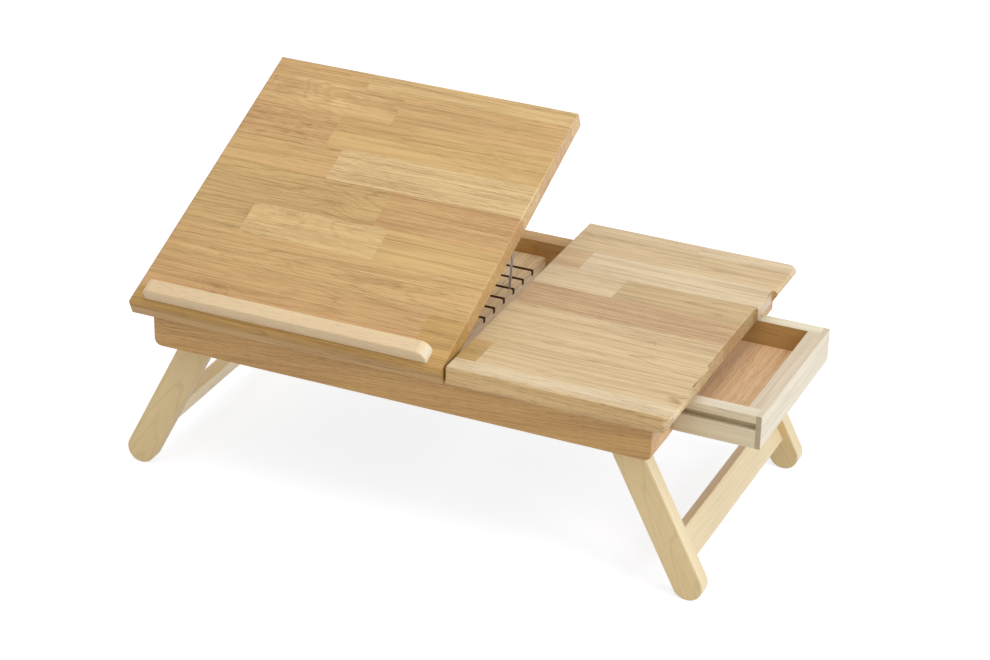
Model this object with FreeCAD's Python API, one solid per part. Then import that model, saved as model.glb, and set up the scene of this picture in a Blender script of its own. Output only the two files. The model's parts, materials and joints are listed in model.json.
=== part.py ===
import FreeCAD, Part
import math
import os

# Bed tray and laptop stand with one tilting board, one fixed board and a drawer.
# Millimetres. The sizes below are given in the frame's own directions: X runs from
# the frame's closed left end to its open right end, Y from the front rail's outer
# face to the back rail, and Z is 0 at the top of the rails. The row's origin is
# worked out from them further down, at the foot of the part's box at rest.

# Frame of rails
FRAME_LENGTH = 557.0
FRAME_DEPTH = 355.0
RAIL_HEIGHT = 38.0
RAIL_THICK = 20.0
RAIL_END_ROUND = 8.0
RAIL_EASE = 1.2
FRONT_BLOCK_WIDTH = 30.0
BACK_BLOCK_WIDTH = 37.8
BLOCK_LENGTH = 20.0

# Boards
BOARD_THICK = 20.0
FRONT_OVERHANG = 8.0
BACK_OVERHANG = 11.0
BOARD_TOP_ROUND = 4.0
BOARD_LOW_ROUND = 2.5
WRIST_ROUND = 9.0
TILTING_CORNER = 2.0
FIXED_CORNER = 12.0
LEFT_OVERHANG = 21.0
RIGHT_OVERHANG = 23.0
BOARD_SPLIT_X = 336.0
BOARD_GAP = 2.6
BOARD_ARRIS = 1.0
GRIP_BEVEL_TOP = 15.0
GRIP_BEVEL_INSET = 9.5
GRIP_INSET = 5.0
GRIP_START = 68.0
GRIP_END = 71.0
NOTCH_DEPTH = 3.5
NOTCH_START = 114.0
NOTCH_END = 117.0
NOTCH_CORNER = 3.0
GRIP_EASE = 1.2

# Stop ledge along the tilting board's front edge
LEDGE_START_X = -4.3
LEDGE_LENGTH = 322.8
LEDGE_SETBACK = 7.0
LEDGE_WIDTH = 17.0
LEDGE_HEIGHT = 14.0
LEDGE_LEFT_ROUND = 6.0
LEDGE_RIGHT_ROUND = 11.0
LEDGE_EASE = 1.6

# Board hinges, whose barrels hide under the front overhang
TILT_REST = 23.4
HINGE_AXIS_Y = -2.6
HINGE_INSET = 60.0
HINGE_LENGTH = 50.0
HINGE_BARREL_R = 2.5
HINGE_PIN_R = 1.2
HINGE_LEAF_THICK = 1.0
HINGE_LEAF_REACH = 14.0
HINGE_SIDE_KNUCKLE = 16.0
HINGE_KNUCKLE_GAP = 0.3
HINGE_SCREW_SETBACK = 8.5
HINGE_SCREW_SPREAD = 17.0

# Notched rack and the wire prop that stands in it
RACK_START_X = 255.0
RACK_WIDTH = 44.5
RACK_HEIGHT = 20.0
RACK_EASE = 1.0
SLOT_COUNT = 6
SLOT_PITCH = 25.2
SLOT_BACK_SETBACK = 36.4
SLOT_WIDTH = 5.0
SLOT_DEPTH = 6.2
SLOT_COUNT_BEHIND_PROP = 2
WIRE_R = 1.5
WIRE_BEND_R = 4.0
PROP_HEAD_WIDTH = 14.0
PROP_FOOT_WIDTH = 35.0
PROP_HEAD_SETBACK = 43.6
CLIP_WIDTH = 6.0
CLIP_THICK = 1.0
CLIP_FLANGE = 9.0
CLIP_DROP = 0.5

# Drawer and the two boards that guide it
GUIDE_THICK = 18.0
GUIDE_START_X = 345.0
GUIDE_END_SETBACK = 4.0
DIVIDER_THICK = 12.0
DRAWER_SIDE_GAP = 0.7
DRAWER_TOP_GAP = 1.0
DRAWER_HEIGHT = 36.5
DRAWER_REST_PULL = 88.0
DRAWER_STOP_GAP = 0.5
DRAWER_FRONT_THICK = 19.0
DRAWER_SIDE_THICK = 15.0
DRAWER_SIDE_LAP = 13.0
DRAWER_REAR_THICK = 12.0
DRAWER_PLY_THICK = 4.0
DRAWER_PLY_RAISE = 5.5
DRAWER_PLY_LET_IN = 5.0
DRAWER_PLY_GAP = 0.3
DRAWER_GROOVE_DROP = 8.6
DRAWER_GROOVE_HEIGHT = 7.7
DRAWER_GROOVE_DEPTH = 7.0
DRAWER_EASE = 0.8
RUNNER_TOP_GAP = 0.3
RUNNER_HEIGHT = 7.0
RUNNER_LET_IN = 4.0
RUNNER_TIP_GAP = 0.6
RUNNER_END_GAP = 1.0

# Folding legs
LEG_WIDTH = 32.6
LEG_THICK = 17.8
LEG_REACH = 186.0
LEG_SPLAY = 27.2
LEG_PIVOT_DROP = 18.6
LEG_STOP_GAP = 0.26
LEG_EASE = 1.2
WASHER_THICK = 2.0
WASHER_R = 11.0
LEG_PLAY = 0.3
CROSSBAR_START = 136.0
CROSSBAR_WIDTH = 33.0
CROSSBAR_THICK = 13.6
CROSSBAR_EASE = 1.5

# Leg pivots: a shoulder screw in a threaded insert, blind in the rail
PIVOT_SHOULDER_R = 4.0
PIVOT_THREAD_R = 3.0
PIVOT_HEAD_R = 6.5
PIVOT_HEAD_HEIGHT = 3.6
PIVOT_SOCKET_R = 2.3
PIVOT_SOCKET_DEPTH = 2.2
INSERT_R = 5.0
INSERT_LENGTH = 13.0
RUNNING_GAP = 0.05

# Screws, dowels and brads
HINGE_SCREW_R = 1.3
HINGE_SCREW_HEAD_R = 2.5
HINGE_SCREW_LENGTH = 11.0
BOARD_SCREW_R = 2.0
BOARD_SCREW_HEAD_R = 4.0
LEDGE_SCREW_LENGTH = 28.0
LEDGE_SCREW_PAST_HINGE = 27.5
GUIDE_SCREW_LENGTH = 30.0
GUIDE_SCREW_BORE_R = 4.6
GUIDE_SCREW_BITE = 14.0
GUIDE_SCREW_SETBACK = 45.0
DIVIDER_SCREW_LENGTH = 40.0
DIVIDER_SCREW_SPREAD = 9.0
CLIP_SCREW_R = 1.3
CLIP_SCREW_HEAD_R = 2.9
CLIP_SCREW_HEAD_HEIGHT = 1.8
CLIP_SCREW_LENGTH = 13.0
SCREW_SLOT_WIDTH = 0.8
SCREW_SLOT_DEPTH = 0.6
DOWEL_R = 4.0
DOWEL_LENGTH = 30.0
DOWEL_BITE = 10.0
DOWEL_GAP = 0.05
DOWEL_END_GAP = 0.5
END_DOWEL_SPREAD = 7.0
BOARD_DOWEL_SETBACK = 35.0
RACK_DOWEL_R = 3.0
RACK_DOWEL_SPREAD = 13.0
CROSSBAR_DOWEL_SPREAD = 8.0
BRAD_R = 0.9
BRAD_LENGTH = 24.0
BRAD_SPREAD = 7.5
HEAD_SINK = 0.1

# How near a point lies to a plane to count as on it
TOUCH = 0.01

# Places that follow from the sizes
rail_bottom = -RAIL_HEIGHT
rail_inner_front = RAIL_THICK
rail_inner_back = FRAME_DEPTH - RAIL_THICK
board_front = -FRONT_OVERHANG
board_back = FRAME_DEPTH + BACK_OVERHANG
board_left = -LEFT_OVERHANG
board_right = FRAME_LENGTH + RIGHT_OVERHANG
fixed_left = BOARD_SPLIT_X + BOARD_GAP
guide_end = FRAME_LENGTH - GUIDE_END_SETBACK
front_guide_outer = rail_inner_front + FRONT_BLOCK_WIDTH
front_guide_inner = front_guide_outer + GUIDE_THICK
back_guide_outer = rail_inner_back - BACK_BLOCK_WIDTH
back_guide_inner = back_guide_outer - GUIDE_THICK
drawer_front_y = front_guide_inner + DRAWER_SIDE_GAP
drawer_back_y = back_guide_inner - DRAWER_SIDE_GAP
divider_right = GUIDE_START_X + DIVIDER_THICK
drawer_length = FRAME_LENGTH - divider_right - DRAWER_STOP_GAP
drawer_face = FRAME_LENGTH + DRAWER_REST_PULL
drawer_tail = drawer_face - drawer_length
drawer_top = -DRAWER_TOP_GAP
drawer_bottom = drawer_top - DRAWER_HEIGHT
splay = math.radians(LEG_SPLAY)
leg_half = LEG_WIDTH / 2.0
pivot_z = -LEG_PIVOT_DROP

# A splayed leg rests its side on the inner lower corner of the end rail or block.
# The pivot stands back from the frame's end by what the leg's half width, the play
# and the slope ask for.
stop_drop = RAIL_HEIGHT - LEG_PIVOT_DROP
pivot_from_stop = (leg_half + LEG_STOP_GAP + stop_drop * math.sin(splay)) / math.cos(splay)
left_pivot_x = RAIL_THICK + pivot_from_stop
right_pivot_x = FRAME_LENGTH - BLOCK_LENGTH - pivot_from_stop
floor_z = pivot_z - LEG_REACH * math.cos(splay) - leg_half

# The row's origin lies at the middle of the part's box at rest, on the floor. At the
# left the box ends at the board or at the left feet, at the right at the drawer's face
# or the right feet, and in front at the nose of the tilted board or of its ledge.
foot_reach = LEG_REACH * math.sin(splay) + leg_half
box_left = min(board_left, left_pivot_x - foot_reach)
box_right = max(drawer_face, board_right, right_pivot_x + foot_reach)
tilt = math.radians(TILT_REST)


def tilted_nose(setback, height, radius):
    """The front of a rounded edge of the tilted board, from its place when closed."""
    v = board_front + setback - HINGE_AXIS_Y
    return HINGE_AXIS_Y + v * math.cos(tilt) - height * math.sin(tilt) - radius


board_nose = tilted_nose(WRIST_ROUND, BOARD_THICK - WRIST_ROUND, WRIST_ROUND)
ledge_crown = BOARD_THICK + LEDGE_HEIGHT - LEDGE_EASE
ledge_nose = tilted_nose(LEDGE_SETBACK + LEDGE_EASE, ledge_crown, LEDGE_EASE)
box_front = min(board_nose, ledge_nose)
origin_x = (box_left + box_right) / 2.0
origin_y = (box_front + board_back) / 2.0
origin = FreeCAD.Vector(origin_x, origin_y, floor_z)

X = FreeCAD.Vector(1, 0, 0)
Y = FreeCAD.Vector(0, 1, 0)
Z = FreeCAD.Vector(0, 0, 1)


def vec(x, y, z):
    return FreeCAD.Vector(x, y, z)


def block(x0, x1, y0, y1, z0, z1):
    return Part.makeBox(x1 - x0, y1 - y0, z1 - z0, vec(x0, y0, z0))


def bar(radius, start, direction, length):
    return Part.makeCylinder(radius, length, start, direction)


def group(solids):
    return Part.Compound(solids)


def along(shape, direction):
    """The straight edges that run along a direction."""
    found = []
    for edge in shape.Edges:
        ends = [v.Point for v in edge.Vertexes]
        if len(ends) == 2:
            run = (ends[1] - ends[0]).normalize()
            if abs(abs(run.dot(direction)) - 1.0) < 1e-6:
                found.append(edge)
    return found


def ease(shape, directions, radius):
    """Rounds the long edges that run along the given directions."""
    picked = []
    for direction in directions:
        picked.extend(along(shape, direction))
    return shape.makeFillet(radius, picked)


def on_tilt(shape):
    """Turns a piece of the tilting board from the closed place to its rest angle."""
    turned = shape.copy()
    turned.rotate(vec(0, HINGE_AXIS_Y, 0), X, TILT_REST)
    return turned


def save(node, shape):
    """Writes one node in the row's frame."""
    placed = shape.copy()
    placed.translate(origin * -1.0)
    placed.exportStep("parts/" + node + ".step")


def flat_screw(head, drive, radius, head_r, length):
    """A countersunk screw whose head's middle is at head, driven along drive."""
    head_h = head_r - radius
    point_h = radius * 2.0
    cone = Part.makeCone(head_r, radius, head_h, head, drive)
    shank = bar(radius, head + drive * head_h, drive, length - head_h - point_h)
    point = Part.makeCone(radius, 0.0, point_h, head + drive * (length - point_h), drive)
    solid = cone.fuse([shank, point]).removeSplitter()
    return cut_cross(solid, head, drive, head_r)


def cut_cross(solid, head, drive, head_r):
    """Cuts the driver's cross into a screw head."""
    arm = head_r * 1.2
    half = SCREW_SLOT_WIDTH / 2.0
    deep = SCREW_SLOT_DEPTH
    first = Part.makeBox(arm, 2 * half, deep, vec(-arm / 2, -half, 0))
    second = Part.makeBox(2 * half, arm, deep, vec(-half, -arm / 2, 0))
    cross = first.fuse(second)
    cross.Placement = FreeCAD.Placement(head, FreeCAD.Rotation(Z, drive))
    return solid.cut(cross)


def flat_screw_hole(head, drive, radius, head_r, length):
    """The hole that a countersunk screw sits in, with its clearance all round."""
    gap = RUNNING_GAP
    head_h = head_r - radius
    mouth = head - drive * (HEAD_SINK + gap)
    cone = Part.makeCone(head_r + HEAD_SINK + gap * 2, radius + gap, head_h + HEAD_SINK + gap, mouth, drive)
    shank = bar(radius + gap, head, drive, length + gap)
    return cone.fuse(shank)


def dowel(middle, direction, radius, length):
    """A round dowel about its middle, with both ends eased."""
    pin = bar(radius, middle - direction * (length / 2.0), direction, length)
    rims = [e for e in pin.Edges if len(e.Vertexes) == 1]
    return pin.makeChamfer(radius * 0.2, rims)


def dowel_hole(middle, direction, radius, length):
    deep = length + 2 * DOWEL_END_GAP
    return bar(radius + DOWEL_GAP, middle - direction * (deep / 2.0), direction, deep)


os.makedirs("parts", exist_ok=True)

# ---------------------------------------------------------------- fasteners of the frame
# Two dowels join each end of the closed end rail to a long rail.
end_dowel_x = RAIL_THICK / 2.0
end_dowels = []
end_dowel_holes = []
for side, face in ((1.0, rail_inner_front), (-1.0, rail_inner_back)):
    for step in (-1.0, 1.0):
        height = rail_bottom / 2.0 + step * END_DOWEL_SPREAD
        middle_y = face + side * (DOWEL_LENGTH / 2.0 - DOWEL_BITE)
        middle = vec(end_dowel_x, middle_y, height)
        end_dowels.append(dowel(middle, Y, DOWEL_R, DOWEL_LENGTH))
        end_dowel_holes.append(dowel_hole(middle, Y, DOWEL_R, DOWEL_LENGTH))

# Two thinner dowels join each end of the rack to a long rail.
rack_middle_x = RACK_START_X + RACK_WIDTH / 2.0
rack_top = rail_bottom + RACK_HEIGHT
rack_dowels = []
rack_dowel_holes = []
for side, face in ((1.0, rail_inner_front), (-1.0, rail_inner_back)):
    for step in (-1.0, 1.0):
        middle_y = face + side * (DOWEL_LENGTH / 2.0 - DOWEL_BITE)
        middle = vec(rack_middle_x + step * RACK_DOWEL_SPREAD, middle_y, rail_bottom + RACK_HEIGHT / 2.0)
        rack_dowels.append(dowel(middle, Y, RACK_DOWEL_R, DOWEL_LENGTH))
        rack_dowel_holes.append(dowel_hole(middle, Y, RACK_DOWEL_R, DOWEL_LENGTH))

# Upright dowels hold the fixed board down on both long rails.
board_dowels = []
board_dowel_holes = []
board_dowel_xs = (fixed_left + BOARD_DOWEL_SETBACK, FRAME_LENGTH - BOARD_DOWEL_SETBACK)
for x in board_dowel_xs:
    for y in (RAIL_THICK / 2.0, FRAME_DEPTH - RAIL_THICK / 2.0):
        middle = vec(x, y, DOWEL_BITE - DOWEL_LENGTH / 2.0)
        board_dowels.append(dowel(middle, Z, DOWEL_R, DOWEL_LENGTH))
        board_dowel_holes.append(dowel_hole(middle, Z, DOWEL_R, DOWEL_LENGTH))

# Screws come up through the drawer guides into the fixed board.
guide_screws = []
guide_screw_holes = []
guide_mid_front = front_guide_outer + GUIDE_THICK / 2.0
guide_mid_back = back_guide_inner + GUIDE_THICK / 2.0
guide_screw_head_z = GUIDE_SCREW_BITE - GUIDE_SCREW_LENGTH
for x in (GUIDE_START_X + GUIDE_SCREW_SETBACK, guide_end - GUIDE_SCREW_SETBACK):
    for y in (guide_mid_front, guide_mid_back):
        head = vec(x, y, guide_screw_head_z)
        bore_length = guide_screw_head_z - rail_bottom
        access = bar(GUIDE_SCREW_BORE_R, vec(x, y, rail_bottom), Z, bore_length)
        seat = flat_screw_hole(head, Z, BOARD_SCREW_R, BOARD_SCREW_HEAD_R, GUIDE_SCREW_LENGTH)
        guide_screws.append(flat_screw(head, Z, BOARD_SCREW_R, BOARD_SCREW_HEAD_R, GUIDE_SCREW_LENGTH))
        guide_screw_holes.append(seat.fuse(access))

# Screws go through each guide into the ends of the divider.
divider_screws = []
divider_screw_holes = []
divider_mid_x = GUIDE_START_X + DIVIDER_THICK / 2.0
for side, face in ((1.0, front_guide_outer), (-1.0, back_guide_outer)):
    for step in (-1.0, 1.0):
        height = rail_bottom / 2.0 + step * DIVIDER_SCREW_SPREAD
        head = vec(divider_mid_x, face + side * HEAD_SINK, height)
        drive = Y * side
        size = (BOARD_SCREW_R, BOARD_SCREW_HEAD_R, DIVIDER_SCREW_LENGTH)
        divider_screws.append(flat_screw(head, drive, size[0], size[1], size[2]))
        divider_screw_holes.append(flat_screw_hole(head, drive, size[0], size[1], size[2]))

# ---------------------------------------------------------------- leg pivots
leg_front_y = rail_inner_front + WASHER_THICK + LEG_PLAY
leg_back_y = rail_inner_back - WASHER_THICK - LEG_PLAY
shoulder_length = WASHER_THICK + LEG_PLAY + LEG_THICK + LEG_PLAY
inserts = []
insert_holes = []
pivot_screws = []
pivot_washers = []
pivots = []
for x in (left_pivot_x, right_pivot_x):
    for side, face in ((1.0, rail_inner_front), (-1.0, rail_inner_back)):
        seat = vec(x, face, pivot_z)
        inward = Y * side
        pivots.append((seat, inward))
        deep = seat - inward * INSERT_LENGTH
        sleeve = bar(INSERT_R, deep, inward, INSERT_LENGTH)
        bore = bar(PIVOT_THREAD_R + RUNNING_GAP, deep, inward, INSERT_LENGTH)
        inserts.append(sleeve.cut(bore))
        insert_holes.append(bar(INSERT_R + RUNNING_GAP, deep, inward, INSERT_LENGTH))
        thread = bar(PIVOT_THREAD_R, deep + inward * HEAD_SINK, inward, INSERT_LENGTH - HEAD_SINK)
        shoulder = bar(PIVOT_SHOULDER_R, seat, inward, shoulder_length)
        head_seat = seat + inward * shoulder_length
        head = bar(PIVOT_HEAD_R, head_seat, inward, PIVOT_HEAD_HEIGHT)
        crown = [e for e in head.Edges if e.CenterOfMass.distanceToPoint(head_seat) > PIVOT_HEAD_HEIGHT / 2.0]
        crown = [e for e in crown if len(e.Vertexes) == 1]
        head = head.makeFillet(PIVOT_HEAD_HEIGHT * 0.4, crown)
        screw = thread.fuse([shoulder, head])
        top = head_seat + inward * PIVOT_HEAD_HEIGHT
        hexagon = []
        for k in range(7):
            turn = math.radians(60.0 * k)
            flat = vec(math.cos(turn), 0, math.sin(turn)) * PIVOT_SOCKET_R
            hexagon.append(top + flat)
        socket = Part.Face(Part.makePolygon(hexagon)).extrude(inward * -PIVOT_SOCKET_DEPTH)
        pivot_screws.append(screw.cut(socket))
        washer = bar(WASHER_R, seat, inward, WASHER_THICK)
        hole = bar(PIVOT_SHOULDER_R + RUNNING_GAP, seat, inward, WASHER_THICK)
        pivot_washers.append(washer.cut(hole))

# ---------------------------------------------------------------- hinges
hinge_middles = (HINGE_INSET, BOARD_SPLIT_X - LEFT_OVERHANG - HINGE_INSET)
housing_r = HINGE_BARREL_R + HINGE_KNUCKLE_GAP
leaf_low = -HINGE_LEAF_THICK - HEAD_SINK
axis_start = vec(0, HINGE_AXIS_Y, 0)


def knuckle(x0, x1):
    start = axis_start + X * x0
    return bar(HINGE_BARREL_R, start, X, x1 - x0)


def leaf_screws(middle, up):
    """Heads of one leaf's three screws; up is +1 for the rail leaf, -1 for the board leaf."""
    places = []
    for step in (-1.0, 0.0, 1.0):
        x = middle + step * HINGE_SCREW_SPREAD
        places.append(vec(x, HINGE_SCREW_SETBACK, -up * (HEAD_SINK * 2)))
    return places


rail_leaves = []
board_leaves = []
hinge_pins = []
rail_leaf_screws = []
board_leaf_screws = []
rail_hinge_cuts = []
board_hinge_cuts = []
for middle in hinge_middles:
    x0 = middle - HINGE_LENGTH / 2.0
    x3 = middle + HINGE_LENGTH / 2.0
    x1 = x0 + HINGE_SIDE_KNUCKLE
    x2 = x3 - HINGE_SIDE_KNUCKLE
    pin_hole = bar(HINGE_PIN_R + RUNNING_GAP, axis_start + X * x0, X, HINGE_LENGTH)
    outer_ends = knuckle(x0, x1).fuse(knuckle(x2, x3))
    inner = knuckle(x1 + HINGE_KNUCKLE_GAP, x2 - HINGE_KNUCKLE_GAP)
    room_middle = bar(housing_r, axis_start + X * x1, X, x2 - x1)
    room_left = bar(housing_r, axis_start + X * x0, X, HINGE_SIDE_KNUCKLE + HINGE_KNUCKLE_GAP)
    room_right = bar(housing_r, axis_start + X * (x2 - HINGE_KNUCKLE_GAP), X, HINGE_SIDE_KNUCKLE + HINGE_KNUCKLE_GAP)
    # The rail's leaf lies just under the rail top and carries the two outer knuckles.
    plate = block(x0, x3, HINGE_AXIS_Y, HINGE_LEAF_REACH, leaf_low, -HEAD_SINK)
    plate = plate.cut(room_middle)
    leaf = plate.fuse(outer_ends).cut(pin_hole)
    screws = []
    for head in leaf_screws(middle, 1.0):
        size = (HINGE_SCREW_R, HINGE_SCREW_HEAD_R, HINGE_SCREW_LENGTH)
        screws.append(flat_screw_hole(head, Z * -1.0, size[0], size[1], size[2]))
        rail_leaf_screws.append(flat_screw(head, Z * -1.0, size[0], size[1], size[2]))
    rail_leaves.append(leaf.cut(screws).removeSplitter())
    # The board's leaf is let into the underside and carries the middle knuckle.
    plate = block(x0, x3, HINGE_AXIS_Y, HINGE_LEAF_REACH, HEAD_SINK, -leaf_low)
    plate = plate.cut([room_left, room_right])
    leaf = plate.fuse(inner).cut(pin_hole)
    holes = []
    for head in leaf_screws(middle, -1.0):
        size = (HINGE_SCREW_R, HINGE_SCREW_HEAD_R, HINGE_SCREW_LENGTH)
        holes.append(flat_screw_hole(head, Z, size[0], size[1], size[2]))
        board_leaf_screws.append(flat_screw(head, Z, size[0], size[1], size[2]))
    board_leaves.append(leaf.cut(holes).removeSplitter())
    pin = bar(HINGE_PIN_R, axis_start + X * x0, X, HINGE_LENGTH)
    hinge_pins.append(pin)
    # Both woods are let in for the leaf and hollowed for the barrel.
    hollow = bar(housing_r, axis_start + X * (x0 - HINGE_KNUCKLE_GAP), X, HINGE_LENGTH + 2 * HINGE_KNUCKLE_GAP)
    mortise = block(x0, x3, board_front, HINGE_LEAF_REACH, leaf_low, 0)
    rail_hinge_cuts.extend([hollow, mortise] + screws)
    mortise = block(x0, x3, HINGE_AXIS_Y, HINGE_LEAF_REACH, 0, -leaf_low)
    board_hinge_cuts.extend([hollow, mortise] + holes)

# ---------------------------------------------------------------- long rails
def long_rail(y0, y1, outer_y):
    rail = block(0, FRAME_LENGTH, y0, y1, rail_bottom, 0)
    low_ends = [e for e in along(rail, Y) if e.CenterOfMass.z < rail_bottom / 2.0]
    rail = rail.makeFillet(RAIL_END_ROUND, low_ends)
    outside = [e for e in rail.Edges if abs(e.CenterOfMass.y - outer_y) < TOUCH]
    outside = [e for e in outside if e.CenterOfMass.z < -TOUCH]
    return rail.makeFillet(RAIL_EASE, outside)


def end_piece(x0, x1, y0, y1, outer_x):
    """A cross piece at a frame end, with its outer lower edge rounded as the rails are."""
    piece = block(x0, x1, y0, y1, rail_bottom, 0)
    outer_low = [e for e in along(piece, Y) if abs(e.CenterOfMass.x - outer_x) < TOUCH]
    outer_low = [e for e in outer_low if e.CenterOfMass.z < -TOUCH]
    return piece.makeFillet(RAIL_END_ROUND, outer_low)


frame_holes = end_dowel_holes + rack_dowel_holes + board_dowel_holes + insert_holes
front_rail = long_rail(0, RAIL_THICK, 0).cut(frame_holes + rail_hinge_cuts)
back_rail = long_rail(rail_inner_back, FRAME_DEPTH, FRAME_DEPTH).cut(frame_holes)
save("front_rail", front_rail)
save("back_rail", back_rail)
end_rail = end_piece(0, RAIL_THICK, rail_inner_front, rail_inner_back, 0)
save("left_end_rail", end_rail.cut(end_dowel_holes))
block_start = FRAME_LENGTH - BLOCK_LENGTH
front_block = end_piece(block_start, FRAME_LENGTH, rail_inner_front, front_guide_outer, FRAME_LENGTH)
back_block = end_piece(block_start, FRAME_LENGTH, back_guide_outer, rail_inner_back, FRAME_LENGTH)
save("front_stop_block", front_block)
save("back_stop_block", back_block)
save("end_rail_dowels", group(end_dowels))
save("rack_dowels", group(rack_dowels))
save("board_dowels", group(board_dowels))

# ---------------------------------------------------------------- drawer guides
runner_top = drawer_top - DRAWER_GROOVE_DROP - RUNNER_TOP_GAP
runner_low = runner_top - RUNNER_HEIGHT
runner_end = FRAME_LENGTH - DRAWER_FRONT_THICK - RUNNER_END_GAP
runner_tip = DRAWER_SIDE_GAP + DRAWER_GROOVE_DEPTH - RUNNER_TIP_GAP
front_runner = block(divider_right, runner_end, front_guide_inner - RUNNER_LET_IN,
                     front_guide_inner + runner_tip, runner_low, runner_top)
back_runner = block(divider_right, runner_end, back_guide_inner - runner_tip,
                    back_guide_inner + RUNNER_LET_IN, runner_low, runner_top)
front_guide = block(GUIDE_START_X, guide_end, front_guide_outer, front_guide_inner, rail_bottom, 0)
back_guide = block(GUIDE_START_X, guide_end, back_guide_inner, back_guide_outer, rail_bottom, 0)
guide_holes = guide_screw_holes + divider_screw_holes
save("front_drawer_guide", front_guide.cut([front_runner] + guide_holes))
save("back_drawer_guide", back_guide.cut([back_runner] + guide_holes))
save("front_runner", front_runner)
save("back_runner", back_runner)
divider = block(GUIDE_START_X, divider_right, front_guide_inner, back_guide_inner, rail_bottom, 0)
save("divider", divider.cut(divider_screw_holes))
save("guide_screws", group(guide_screws))
save("divider_screws", group(divider_screws))

# ---------------------------------------------------------------- notched rack
rack = block(RACK_START_X, RACK_START_X + RACK_WIDTH, rail_inner_front, rail_inner_back, rail_bottom, rack_top)
rack = ease(rack, (Y,), RACK_EASE)
slots = []
slot_floor = rack_top - SLOT_DEPTH
last_slot_y = rail_inner_back - SLOT_BACK_SETBACK
for k in range(SLOT_COUNT):
    middle_y = last_slot_y - k * SLOT_PITCH
    slots.append(block(RACK_START_X, RACK_START_X + RACK_WIDTH, middle_y - SLOT_WIDTH / 2.0,
                       middle_y + SLOT_WIDTH / 2.0, slot_floor, rack_top))
save("prop_rack", rack.cut(slots + rack_dowel_holes))

# ---------------------------------------------------------------- wire prop and its clip
# The prop's head turns in the clip under the board, and its foot stands in a slot,
# beside the slot's front wall.
clip_gap = RUNNING_GAP * 2
head_drop = CLIP_DROP + WIRE_R
head_y = board_back - PROP_HEAD_SETBACK
head_reach = head_y - HINGE_AXIS_Y
prop_slot_front = last_slot_y - SLOT_COUNT_BEHIND_PROP * SLOT_PITCH - SLOT_WIDTH / 2.0
foot_y = prop_slot_front + clip_gap + WIRE_R
foot_z = slot_floor + clip_gap + WIRE_R
head_at_rest = vec(rack_middle_x, head_reach, -head_drop)
swing = FreeCAD.Rotation(X, TILT_REST)
head_point = vec(0, HINGE_AXIS_Y, 0) + swing.multVec(head_at_rest)
foot_point = vec(rack_middle_x, foot_y, foot_z)
prop_run = foot_point - head_point
prop_length = prop_run.Length
prop_way = FreeCAD.Vector(prop_run).normalize()


def rounded_loop(corners, radius):
    """A closed wire through flat corners, with a tangent arc at each of them."""
    count = len(corners)
    cuts = []
    for k in range(count):
        here = corners[k]
        back = (corners[k - 1] - here).normalize()
        ahead = (corners[(k + 1) % count] - here).normalize()
        half = back.getAngle(ahead) / 2.0
        reach = radius / math.tan(half)
        bisector = (back + ahead).normalize()
        centre = here + bisector * (radius / math.sin(half))
        crown = centre - bisector * radius
        cuts.append((here + back * reach, crown, here + ahead * reach))
    edges = []
    for k in range(count):
        start, crown, end = cuts[k]
        edges.append(Part.Arc(start, crown, end).toShape())
        edges.append(Part.makeLine(end, cuts[(k + 1) % count][0]))
    return Part.Wire(edges)


half_head = PROP_HEAD_WIDTH / 2.0
half_foot = PROP_FOOT_WIDTH / 2.0
loop = rounded_loop([head_point - X * half_head, head_point + X * half_head,
                     foot_point + X * half_foot, foot_point - X * half_foot], WIRE_BEND_R)
first_edge = loop.Edges[1]
ring_at = first_edge.Vertexes[0].Point
ring = Part.Wire(Part.makeCircle(WIRE_R, ring_at, first_edge.tangentAt(first_edge.FirstParameter)))
prop_wire = loop.makePipeShell([ring], True, False)
save("prop_wire", prop_wire)

clip_x0 = rack_middle_x - CLIP_WIDTH / 2.0
clip_x1 = rack_middle_x + CLIP_WIDTH / 2.0
bow_r = WIRE_R + clip_gap
axis_at_clip = vec(clip_x0, head_y, -head_drop)
bow_out = bar(bow_r + CLIP_THICK, axis_at_clip, X, CLIP_WIDTH)
bow_in = bar(bow_r, axis_at_clip, X, CLIP_WIDTH)
cheeks_out = block(clip_x0, clip_x1, head_y - bow_r - CLIP_THICK, head_y + bow_r + CLIP_THICK, -head_drop, 0)
cheeks_in = block(clip_x0, clip_x1, head_y - bow_r, head_y + bow_r, -head_drop, 0)
flange_out = bow_r + CLIP_THICK + CLIP_FLANGE
flanges = block(clip_x0, clip_x1, head_y - flange_out, head_y + flange_out, -CLIP_THICK, 0)
above_board_face = block(clip_x0, clip_x1, head_y - flange_out, head_y + flange_out, 0, bow_r + CLIP_THICK)
prop_clip = flanges.fuse([bow_out, cheeks_out]).cut([bow_in, cheeks_in, above_board_face])
clip_screws = []
clip_screw_holes = []
for side in (-1.0, 1.0):
    at = vec(rack_middle_x, head_y + side * (bow_r + CLIP_THICK + CLIP_FLANGE / 2.0), -CLIP_THICK)
    pan = bar(CLIP_SCREW_HEAD_R, at - Z * CLIP_SCREW_HEAD_HEIGHT, Z, CLIP_SCREW_HEAD_HEIGHT)
    rim = [e for e in pan.Edges if len(e.Vertexes) == 1]
    rim = [e for e in rim if e.CenterOfMass.z < at.z - CLIP_SCREW_HEAD_HEIGHT / 2.0]
    pan = pan.makeFillet(CLIP_SCREW_HEAD_HEIGHT * 0.5, rim)
    shank = bar(CLIP_SCREW_R, at, Z, CLIP_SCREW_LENGTH)
    pan = cut_cross(pan, at - Z * CLIP_SCREW_HEAD_HEIGHT, Z, CLIP_SCREW_HEAD_R)
    clip_screws.append(pan.fuse(shank))
    clip_screw_holes.append(bar(CLIP_SCREW_R + RUNNING_GAP, at, Z, CLIP_SCREW_LENGTH + DOWEL_END_GAP))
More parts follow.
